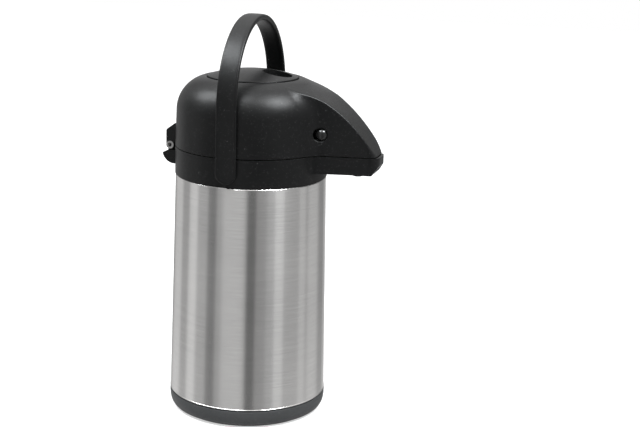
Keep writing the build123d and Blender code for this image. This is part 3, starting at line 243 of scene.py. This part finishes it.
def spun_rings(outline, around):
    """Rings of an outline of radius and height pairs, turned round the upright axis: each point is the
    radius times the cosine and sine of its turn, at the height."""
    bend = np.linspace(0.0, 2 * pi, around, endpoint=False)
    radius, height = np.array(outline).T
    ring = np.stack([np.cos(bend), np.sin(bend), np.zeros(around)], axis=1)
    return (radius[:, None, None] * ring[None] + height[:, None, None] * np.array([0.0, 0.0, 1.0])) * mm


# the outline runs down outside and up inside, so it is reversed to turn the faces outwards
skirt_outline = (skirt_outside + skirt_inside)[::-1]
base_rim = ring_piece("base_rim", spun_rings(skirt_outline, skirt_corners), looped=True)
smooth(base_rim, 40.0)
base_rim.data.materials.append(base_black)
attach(base_rim, "body")

# Outer casing: stainless sheet, spun and brushed round its axis, then closed by a steel disc at the
# bottom. The brushing spreads each reflection up and down into a tall band.
steel = Finish("brushed_casing")
strands = steel.noise(26.0, 3.0, (1.0, 1.0, 160.0))
fine_strands = steel.noise(70.0, 2.0, (1.0, 1.0, 420.0))
smudge = steel.noise(14.0, 3.0)
brush = steel.bump(strands, 0.000012, 0.5, steel.bump(fine_strands, 0.000006, 0.5))
tone = (strands * 0.4 + fine_strands * 0.4 + smudge * 0.2).between(0.36, 0.64)
casing_steel = steel.surface(steel.mix(tone, grey(0.80, 0.010), grey(0.97, 0.014)),
                             0.13 + fine_strands * 0.12 + smudge * 0.05, brush,
                             Metallic=1.0, Anisotropic=0.9, Anisotropic_Rotation=0.25)
paint(casing_steel, "outer_casing")

# Inner liner: plain bright sheet, drawn to a bottle and welded to the casing at the neck. The shoulder
# and the disc that closes the casing have the same finish.
drawn = Finish("liner_steel")
flow = drawn.noise(30.0, 3.0, (1.0, 1.0, 0.15))
liner_steel = drawn.surface(drawn.mix(flow, grey(0.56), grey(0.68)), 0.22 + flow * 0.14,
                            drawn.bump(flow, 0.00004, 0.4), Metallic=1.0)
paint(liner_steel, "casing_shoulder", "inner_liner", "liner_neck", "casing_bottom")

# Collar: black moulding clamped on the neck, with the spout's lower jaw in front, and its ring and
# nozzle. The stem that stands in the bottle's mouth is white plastic.
paint(shell_black, "collar", "neck_ring", "spout_nozzle")
paint(white_plastic, "stem_head", "stem_bridge", "stem_post", "dip_tube", "tube_foot")

# Seals: milky silicone rings, flaps and the spout pipe. They are moulded and pushed on, and seal the
# bottle's mouth, the pump and the way to the nozzle.
soft = Finish("silicone")
milk = soft.noise(60.0, 3.0)
silicone = soft.surface(soft.mix(milk, grey(0.52, 0.02), grey(0.64, 0.03)), 0.45 + milk * 0.15,
                        soft.bump(soft.noise(700.0), 0.00004, 0.4), Subsurface_Weight=0.15)
paint(silicone, "mouth_gasket", "lid_gasket", "spout_pipe", "outlet_valve", "intake_valve")

# Head: dome and beak, moulded in one black shell with soft edges, on a base plate. The beak grows out
# of the dome in a hollow curve, its flat top starts at the button, and two ears behind take the hinge.
seam_z = 263.8          # lower edge of the head, in millimetres as all sizes from here on
dome_wall_top = 298.3
dome_foot_radius = 74.0
dome_draft = 1.0
dome_arc = 33.5
opening_radius = 44.5
ridge_arc = 146.3
ridge_centre_z = 192.1
crown_fall = 0.377      # slope of the beak's top where it leaves the button
nose_x = 130.0
nose_corner = 11.0
# half widths of the beak along its length, from where its edges die in the dome to the nose corner
root_widths = [(41.0, 35.0), (52.0, 34.0), (63.0, 31.0), (74.0, 27.0)]
side_widths = [(74.0, 27.0), (96.0, 21.8), (118.0, 18.2)]
# behind the root the beak's side sinks into the dome: degrees from straight ahead, and reach there
sunk_turns = [52.0, 66.0]
sunk_reaches = [47.0, 43.0]
widest_turn = 1.2       # in radians, past which the beak's flat ends are held at their reach
shell_wall = 2.5
crown_wall = 3.5        # from the dome's top down to the hollow inside
crease_blend = 3.6      # rounding between the beak's top and its sides
root_blend = 10.0       # hollow between the dome and the beak's sides
crown_blend = 1.0       # the hollow fades to this at the opening
crown_reach = 12.0
edge_round = 0.5
rim_drop = 1.1          # the shell rolls down by this to the groove round the button
rim_reach = 2.6
lip_round = 0.9
lip_tuck = 0.45         # the lip leans into the opening by this
lip_z = 321.0
sleeve_radius = 46.0
sleeve_wall = 2.2
sleeve_z = 288.7
# start, end and step in degrees of the points on half a ring, closest where the beak's sides are
turn_steps = [(0.0, 3.0, 0.75), (3.0, 9.0, 0.3), (9.0, 27.0, 0.2), (27.0, 46.0, 0.5), (46.0, 180.0, 2.0)]
wall_step = 1.0         # height between two rings of the upright wall
dome_rings = 72
inner_rings = 36
dome_centre_radius = dome_foot_radius - dome_draft - dome_arc
dome_top = dome_wall_top + sqrt(dome_arc**2 - (opening_radius - dome_centre_radius) ** 2)


def ease(share):
    """A share from 0 to 1 with a level start and end: three of its squares less two of its cubes."""
    share = np.clip(share, 0.0, 1.0)
    return share * share * (3.0 - 2.0 * share)


def soft_max(first, second, blend):
    """The larger of two lengths, carried from one to the other by a parabola while they are closer than
    the blend."""
    share = np.clip(0.5 + 0.5 * (first - second) / blend, 0.0, 1.0)
    return second + (first - second) * share + blend * share * (1.0 - share)


def soft_min(first, second, blend):
    """The smaller of two lengths, with the same soft change."""
    return -soft_max(-first, -second, blend)


def beak_reach(turn, inset):
    """Distance from the bottle's axis to the beak's side at each angle: a cubic through the root's half
    widths, a parabola through the side's, a quarter circle at the nose corner, then the flat nose."""
    root_x, root_half = np.array(root_widths).T
    side_x, side_half = np.array(side_widths).T
    root_line = np.linspace(root_x[0], root_x[-1], 60)
    side_line = np.linspace(side_x[0], side_x[-1], 60)[1:]
    bend = np.linspace(0.0, pi / 2, 24)
    corner = nose_corner - inset
    corner_x = nose_x - inset - corner + corner * np.sin(bend)
    corner_half = side_half[-1] - inset - corner + corner * np.cos(bend)
    x = np.concatenate([root_line, side_line, corner_x])
    half = np.concatenate([np.polyval(np.polyfit(root_x, root_half, 3), root_line) - inset,
                           np.polyval(np.polyfit(side_x, side_half, 2), side_line) - inset, corner_half])
    angle = np.arctan2(half, x)
    reach = np.hypot(x, half)
    turn = np.abs(turn)
    sunk = np.interp(turn, [angle[0], *np.radians(sunk_turns)], [reach[0], *sunk_reaches])
    flat = (nose_x - inset) / np.cos(np.minimum(turn, widest_turn))
    sides = np.interp(turn, angle[::-1], reach[::-1])
    return np.where(turn > angle[0], sunk, np.where(turn < angle[-1], flat, sides))


def head_radius(turn, z, inset):
    """Distance from the axis to the head's wall at an angle and a height: the dome's upright wall and
    arc, joined by a hollow to the beak, which is the least of its side, its ridge arc and its crown cone."""
    arc = dome_arc - inset
    wall = dome_foot_radius - inset - dome_draft * np.clip((z - seam_z) / (dome_wall_top - seam_z), 0.0, 1.0)
    over = np.clip(z - dome_wall_top, 0.0, arc)
    dome = np.where(z < dome_wall_top, wall, dome_centre_radius + np.sqrt(arc**2 - over**2))
    ridge = np.sqrt((ridge_arc - inset) ** 2 - (z - ridge_centre_z) ** 2)
    ridge = ridge / np.cos(np.minimum(np.abs(turn), widest_turn))
    cone = opening_radius + (dome_top - inset - z) / crown_fall
    beak = soft_min(beak_reach(turn, inset), soft_min(ridge, cone, 2 * crease_blend), crease_blend)
    hollow = crown_blend + (root_blend - crown_blend) * ease((dome_top - inset - z) / crown_reach)
    return soft_max(dome, beak, hollow)


def head_rings():
    """Rings of the head shell, as a radius and a height for each turn: up the outside, over the opening's
    lip, down and up its sleeve, down the inside and back along the seam."""
    half = np.concatenate([np.arange(start, end, step) for start, end, step in turn_steps])
    turn = np.radians(np.concatenate([half, [180.0], -half[:0:-1]]))
    lean = np.linspace(0.0, pi / 2, 4)[:, None]
    foot_z = seam_z + edge_round * (1.0 - np.cos(lean))
    foot = head_radius(turn, foot_z, 0.0) - edge_round * (1.0 - np.sin(lean))
    wall_z = np.arange(seam_z + 2 * edge_round, dome_wall_top, wall_step)[:, None]
    rise = np.linspace(0.0, asin((dome_top - dome_wall_top) / dome_arc), dome_rings)[:, None]
    dome_z = dome_wall_top + dome_arc * np.sin(rise)
    dome = head_radius(turn, dome_z, 0.0)
    rolled = rim_drop * np.clip(1.0 - (dome - opening_radius) / rim_reach, 0.0, 1.0) ** 2
    bend = np.linspace(0.0, pi / 2, 5)[1:, None]
    lip = opening_radius - lip_tuck * np.sin(bend)
    lip_fall = dome_top - rim_drop - lip_round * (1.0 - np.cos(bend))
    sleeve_outside = sleeve_radius + sleeve_wall
    inside_top = dome_top - crown_wall
    sleeve = np.array([(opening_radius - lip_tuck, lip_z), (sleeve_radius, lip_z), (sleeve_radius, sleeve_z),
                       (sleeve_outside, sleeve_z), (sleeve_outside, inside_top)])
    inner_z = np.linspace(inside_top, seam_z, inner_rings)[:, None]
    inner = np.maximum(head_radius(turn, inner_z, shell_wall), sleeve_outside + edge_round)
    walls = [(foot, foot_z), (head_radius(turn, wall_z, 0.0), wall_z), (dome, dome_z - rolled),
             (lip, lip_fall), (sleeve[:, :1], sleeve[:, 1:]), (inner, inner_z)]
    radius = np.concatenate([reach + 0.0 * turn for reach, z in walls])
    height = np.concatenate([z + 0.0 * turn for reach, z in walls])
    return np.stack([radius * np.cos(turn), radius * np.sin(turn), height], axis=2) * mm


def turned(name, outline, place, axis, around=72):
    """A closed turned piece, in millimetres: an outline of radius and height pairs spun round an axis
    through a place, which is the upright rings, rotated and then moved."""
    rotation = np.array(Vector(axis).to_track_quat("Z", "Y").to_matrix())
    return ring_piece(name, spun_rings(outline, around) @ rotation.T + np.array(place) * mm, looped=False)


def block(name, low, high):
    """A closed box between two corners, in millimetres: a ring of four corners at each of two heights."""
    near, far = np.array(low), np.array(high)
    x = np.array([near[0], far[0], far[0], near[0]])
    y = np.array([near[1], near[1], far[1], far[1]])
    rings = [np.stack([x, y, np.full(4, z)], axis=1) for z in (near[2], far[2])]
    return ring_piece(name, np.stack(rings) * mm, looped=False)


def cut(piece, tool):
    """Takes a tool's shape out of a piece, then throws the tool away."""
    change = piece.modifiers.new("cut", "BOOLEAN")
    change.operation = "DIFFERENCE"
    change.solver = "EXACT"
    change.object = tool
    bpy.context.view_layer.objects.active = piece
    bpy.ops.object.modifier_apply(modifier=change.name)
    bpy.data.objects.remove(tool)


eye_x = 76.0
eye_z = 284.0
eye_wall_y = 26.53      # the beak's side is this far from the pot's middle plane at the eye
eye_turn = radians(13.3)  # the beak's side turns this far from the pot's own side
# the round hole for the release button and the dish round it, as radius and distance out of the side
eye_hole = [(5.95, -9.0), (5.95, 6.0)]
eye_dish = [(6.4, -1.6), (6.9, -1.3), (6.9, -0.35), (7.25, 0.0), (7.4, 3.0)]
# the slot in the opening's lip for the lock tab's tongue
lock_slot_low = (43.2, -5.6, 322.7)
lock_slot_high = (50.0, 5.6, 325.8)
head_skin = ring_piece("head_skin", head_rings(), looped=True)
for side in (1.0, -1.0):
    eye = (eye_x, side * eye_wall_y, eye_z)
    out = (sin(eye_turn), side * cos(eye_turn), 0.0)
    cut(head_skin, turned("eye_hole", eye_hole, eye, (0.0, side, 0.0)))
    cut(head_skin, turned("eye_dish", eye_dish, eye, out))
cut(head_skin, block("lock_slot", lock_slot_low, lock_slot_high))
smooth(head_skin, 38.0)
head_skin.data.materials.append(shell_black)
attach(head_skin, "head")
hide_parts("head_shell")

hinge_x = -78.4
hinge_z = 261.0
ear_round = 4.2
ear_inner_y = 11.5
ear_outer_y = 16.5
ear_bevel = 0.5
ear_bore = [(2.85, -3.0), (2.85, 9.0)]  # radius and distance from the ear's inner face
ear_corners = [(-74.2, seam_z), (-71.5, seam_z), (-71.5, 283.2), (-74.0, 282.2), (-81.4, 276.7),
               (-82.6, 275.2)]


def ear_rings(side):
    """The ear's outline on its two faces: its straight corners, then half a circle round the hinge."""
    bend = np.radians(np.arange(0.0, 181.0, 15.0))
    round_end = np.stack([hinge_x - ear_round * np.cos(bend), hinge_z - ear_round * np.sin(bend)], axis=1)
    x, z = np.concatenate([ear_corners, round_end]).T
    faces_y = sorted((side * ear_inner_y, side * ear_outer_y), reverse=True)
    return np.stack([np.stack([x, np.full(len(x), y), z], axis=1) for y in faces_y]) * mm


for side, ear_name in ((1.0, "hinge_ear_left"), (-1.0, "hinge_ear_right")):
    ear = ring_piece(ear_name, ear_rings(side), looped=False)
    shape = bmesh.new()
    shape.from_mesh(ear.data)
    rim = [edge for edge in shape.edges if abs(edge.verts[0].co.y - edge.verts[1].co.y) < 0.1 * mm]
    bmesh.ops.bevel(shape, geom=rim, offset=ear_bevel * mm, segments=2, affect="EDGES", profile=0.5)
    shape.to_mesh(ear.data)
    shape.free()
    cut(ear, turned("ear_bore", ear_bore, (hinge_x, side * ear_inner_y, hinge_z), (0.0, side, 0.0)))
    smooth(ear, 32.0)
    ear.data.materials.append(shell_black)
    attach(ear, "head")
    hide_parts("head_shell")
paint(shell_black, "head_base_plate")
paint(zinc_steel, "hinge_eyelets", "plate_screws")

# Pump: white blow-moulded bellows and a plunger with a steel spring, under the black push button. They
# stand on the bellows base, and the coils behind the release buttons on a rib of the base plate.
paint(white_plastic, "bellows_base", "bellows", "plunger")
paint(zinc_steel, "return_spring", "plunger_screws", "release_spring_left", "release_spring_right")
paint(shell_black, "pump_button", "lock_tab")


def springy(name, node):
    """A copy of a packed bellows or coil, with a mesh of its own, that rides on the head in place of the
    imported one."""
    piece = show(name, nodes[node].data.copy())
    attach(piece, "head")
    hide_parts(node)
    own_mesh(piece)


springy("soft_bellows", "bellows")
springy("pump_coil", "return_spring")
for side, word in ((1.0, "left"), (-1.0, "right")):
    springy("eye_coil_" + word, "release_spring_" + word)

# Release buttons: glossy black caps, one in each side of the beak, that look like eyes. Each is moulded
# with a flange behind the shell and a leg that reaches down to its catch.
gloss = Finish("gloss_black")
film = gloss.noise(120.0, 3.0)
gloss_black = gloss.surface(gloss.mix(film, grey(0.006), grey(0.011)), 0.07 + film * 0.08,
                            gloss.bump(gloss.noise(500.0), 0.00001, 0.3), Specular_IOR_Level=0.6)
cap_back_y = 15.8       # the cap's back lies this far from the pot's middle plane
cap_flange_y = 17.3
cap_flange_radius = 7.6
cap_radius = 5.6
cap_proud = 1.5         # its crown stands out of the beak's side by this
cap_crown = 3.2         # height of the crown's arc over the cap's straight side
cap_tip_radius = 0.05   # a tiny flat closes the crown
leg_bottom_z = 253.5
leg_half_width = 3.0
leg_thickness = 2.4


def cap_outline():
    """Radius and distance from the middle plane, from the back over the flange and up the crown, which is
    an arc of one sphere through the cap's straight side and its tip."""
    sphere = (cap_radius**2 + cap_crown**2) / (2 * cap_crown)
    tip = eye_wall_y + cap_proud
    radius = cap_radius * np.cos(np.linspace(0.0, 1.0, 24)[:-1] * pi / 2)
    crown = np.stack([radius, tip + np.sqrt(sphere**2 - radius**2) - sphere], axis=1)
    flange = [(cap_flange_radius, cap_back_y), (cap_flange_radius, cap_flange_y), (cap_radius, cap_flange_y)]
    return np.concatenate([flange, crown, [(cap_tip_radius, tip)]])


def join_in(piece, extra):
    """Adds another piece's mesh to a piece, then throws the other away."""
    shape = bmesh.new()
    shape.from_mesh(piece.data)
    shape.from_mesh(extra.data)
    shape.to_mesh(piece.data)
    shape.free()
    bpy.data.objects.remove(extra)


for side, word in ((1.0, "left"), (-1.0, "right")):
    cap = turned("eye_cap_" + word, cap_outline(), (eye_x, 0.0, eye_z), (0.0, side, 0.0))
    leg_faces_y = sorted((side * cap_back_y, side * (cap_back_y - leg_thickness)))
    leg_low = (eye_x - leg_half_width, leg_faces_y[0], leg_bottom_z)
    leg_high = (eye_x + leg_half_width, leg_faces_y[1], eye_z)
    join_in(cap, block("leg", leg_low, leg_high))
    smooth(cap, 35.0)
    cap.data.materials.append(gloss_black)
    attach(cap, "release_" + word)
    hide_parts("release_button_" + word)

# Carry handle: one bent strap of the same black plastic, on steel pins in white bushes. Its legs run
# straight down to rounded ends round the pins.
pivot_z = 250.5
arch_z = 312.0          # the legs are straight up to here, and the arch turns round this height
outer_y = 79.0
inner_y = 74.6
arch_thickness = 6.0    # of the strap at the top of the arch
pivot_half_width = 10.2
top_half_width = 9.2
strap_power = 4.0       # of the strap's rounded section: 2 is an ellipse, more is squarer
strap_corners = 44      # points to a ring
foot_first = 0.06       # angle in radians from straight down of the foot's lowest ring
foot_thinning = 0.45    # the strap's thickness falls by this share to the foot's tip
foot_thinning_power = 6  # and most of it close to the tip


def strap_rings():
    """Rings of the strap from one foot over the arch to the other. Each is a superellipse between the
    inner and the outer line of the arch, as wide as the strap is there."""
    foot = pivot_z - pivot_half_width * np.cos(np.linspace(foot_first, pi / 2, 16))
    leg = np.linspace(pivot_z, arch_z, 18)[1:]
    rise = np.concatenate([foot, leg])
    upright = np.ones(len(rise))
    inner_top = outer_y - arch_thickness
    inner_radius = (inner_y**2 + inner_top**2) / (2 * inner_top)
    drop = inner_top - inner_radius
    bend = np.linspace(0.0, pi, 74)[1:-1]
    over = np.stack([np.cos(bend), np.sin(bend)], axis=1)
    along = drop * over[:, 1]
    inner_reach = along + np.sqrt(inner_radius**2 - drop**2 + along**2)
    outer = np.concatenate([np.stack([outer_y * upright, rise], axis=1),
                            over * outer_y + (0.0, arch_z),
                            np.stack([-outer_y * upright, rise], axis=1)[::-1]])
    inner = np.concatenate([np.stack([inner_y * upright, rise], axis=1),
                            over * inner_reach[:, None] + (0.0, arch_z),
                            np.stack([-inner_y * upright, rise], axis=1)[::-1]])
    height = outer[:, 1]
    taper = (height - pivot_z) / (arch_z + outer_y - pivot_z)
    below = np.clip(pivot_z - height, 0.0, pivot_half_width)
    width = np.where(height < pivot_z, np.sqrt(pivot_half_width**2 - below**2),
                     pivot_half_width + (top_half_width - pivot_half_width) * taper)
    turn = np.linspace(0.0, 2 * pi, strap_corners, endpoint=False)
    across = np.sign(np.cos(turn)) * np.abs(np.cos(turn)) ** (2 / strap_power)
    through = np.sign(np.sin(turn)) * np.abs(np.sin(turn)) ** (2 / strap_power)
    thin = 1.0 - foot_thinning * (below / pivot_half_width) ** foot_thinning_power
    middle = (outer + inner) / 2
    half = (outer - inner) / 2 * thin[:, None]
    rings = np.stack([width[:, None] * across, middle[:, :1] + half[:, :1] * through,
                      middle[:, 1:] + half[:, 1:] * through], axis=2)
    return rings * mm


strap = ring_piece("handle_strap", strap_rings(), looped=False)
smooth(strap, 60.0)
strap.data.materials.append(shell_black)
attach(strap, "handle")
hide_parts("carry_handle")
paint(white_plastic, "handle_bushes")
paint(zinc_steel, "handle_pins", "handle_clips")

# Studio: a pale floor and a tent of soft light. Seen by the camera the tent is white. Seen in the
# steel it has tall strip lights and dark gaps between them, and a bright ceiling.
floor_size = 8.0
floor_lift = 0.55       # what the camera sees of the floor's own light, so that it reads as white
bpy.ops.mesh.primitive_plane_add(size=floor_size)
floor = bpy.context.object
floor.name = "studio_floor"
floor.visible_glossy = False
table_top = Finish("studio_floor")
seen = table_top.node("LightPath", out="Is Camera Ray")
matte = table_top.node("BsdfDiffuse", {"Color": grey(0.62)})
lit = table_top.node("Emission", {"Color": grey(1.0), "Strength": seen * floor_lift})
both = table_top.node("AddShader", {0: matte, 1: lit})
table_top.node("OutputMaterial", {"Surface": both})
floor.data.materials.append(table_top.material)

wall_level = 0.30
ceiling_level = 1.7
ceiling_rise = (28.0, 62.0)  # degrees over the horizon between which the wall turns to the ceiling
strip_core = 0.55       # share of a strip's half width that has its full level
floor_glow = 0.16       # the tent is brighter towards the floor, which lights the casing's lower end
floor_fall = (-20.5, -17.5)  # degrees from the horizon between which that glow ends
camera_way = -75.0      # direction of the camera round the pot, where the floor's glow is weakest
camera_side = (75.0, 35.0)  # degrees from it between which the glow falls to its share
camera_share = 0.15     # the share of the glow that is left towards the camera
# direction of each strip round the pot in degrees, its half width and how far it is from the wall's level
strips = [
    (150.0, 18.0, 0.21),
    (-167.0, 11.0, 0.24),
    (-131.0, 9.0, -0.17),
    (-97.0, 21.0, 0.13),
    (-70.0, 8.5, -0.19),
    (-55.0, 10.0, -0.06),
    (-27.0, 9.0, 0.16),
    (14.0, 8.0, 0.12),
    (39.0, 16.0, 0.12),
    (64.0, 9.0, -0.06),
    (104.0, 24.0, 0.34),
]


class Tent(Finish):
    """The nodes of the world."""

    def __init__(self, name):
        self.world = bpy.data.worlds.new(name)
        self.world.use_nodes = True
        self.tree = self.world.node_tree
        self.tree.nodes.clear()


tent = Tent("studio_tent")
way = tent.node("TexCoord", out="Generated")
level_way = tent.node("VectorMath", {0: way, 1: (1.0, 1.0, 0.0)}, operation="MULTIPLY")
level_way = tent.node("VectorMath", {0: level_way}, operation="NORMALIZE")


def toward(degrees):
    """Cosine of the angle between the way looked and a direction round the pot, both taken level."""
    aim = (cos(radians(degrees)), sin(radians(degrees)), 0.0)
    return tent.node("VectorMath", {0: level_way, 1: aim}, out="Value", operation="DOT_PRODUCT")


wall = wall_level
for strip_way, half_width, extra in strips:
    near = toward(strip_way)
    wall = near.between(cos(radians(half_width)), cos(radians(half_width * strip_core)), 0.0, extra) + wall
height = tent.node("SeparateXYZ", {"Vector": way}, out="Z")
up = height.between(*[sin(radians(angle)) for angle in ceiling_rise])
near_camera = [cos(radians(angle)) for angle in camera_side]
aside = toward(camera_way).between(*near_camera, 1.0, camera_share)
down = height.between(*[sin(radians(angle)) for angle in floor_fall], floor_glow, 0.0) * aside
glow = (wall + down) * (1 - up) + up * ceiling_level
seen = tent.node("LightPath", out="Is Camera Ray")
strength = seen + (1 - seen) * glow
tent_light = tent.node("Background", {"Color": grey(1.0), "Strength": strength})
tent.node("OutputWorld", {"Surface": tent_light})
bpy.context.scene.world = tent.world


def softbox(name, place, aim, width, height, watts, tint):
    """An area lamp at a place in metres that faces a point."""
    lamp = bpy.data.lights.new(name, "AREA")
    lamp.shape = "RECTANGLE"
    lamp.size = width
    lamp.size_y = height
    lamp.energy = watts
    lamp.color = tint
    holder = show(name, lamp)
    holder.location = place
    holder.rotation_mode = "QUATERNION"
    holder.rotation_quaternion = (Vector(aim) - Vector(place)).to_track_quat("-Z", "Y")


softbox("ceiling_box", (-0.35, -0.45, 1.35), (0.0, 0.0, 0.25), 0.9, 0.5, 14.0, (0.93, 0.97, 1.0))
softbox("right_box", (0.78, -0.27, 1.25), (0.0, 0.0, 0.28), 0.55, 0.55, 20.0, (0.95, 0.98, 1.0))
softbox("left_box", (-0.95, -0.17, 1.15), (0.0, 0.0, 0.28), 0.5, 0.4, 8.0, (0.95, 0.98, 1.0))

# Camera: the photograph's, fitted to the pot's round seams and upright sides. It stands in front of
# the right side, a little above, and is tilted by under two degrees.
image_width = 640.0
focal_pixels = 1355.42
camera_place = Vector((0.4018, -1.2350, 0.5140))
forward = Vector((-0.25143, 0.93836, -0.23720)).normalized()
camera_roll = 0.030665
level_right = forward.cross(Vector((0.0, 0.0, 1.0))).normalized()
level_up = level_right.cross(forward)
camera_right = level_right * cos(camera_roll) + level_up * sin(camera_roll)
camera_up = camera_right.cross(forward)
camera = bpy.data.cameras.new("camera")
camera.sensor_width = 36.0
camera.lens = focal_pixels * camera.sensor_width / image_width
camera.clip_start = 0.05
camera.clip_end = 50.0
camera_stand = show("camera", camera)
facing = Matrix((camera_right, camera_up, -forward)).transposed()
camera_stand.matrix_world = Matrix.Translation(camera_place) @ facing.to_4x4()
bpy.context.scene.camera = camera_stand
bpy.context.scene.view_settings.view_transform = "Standard"
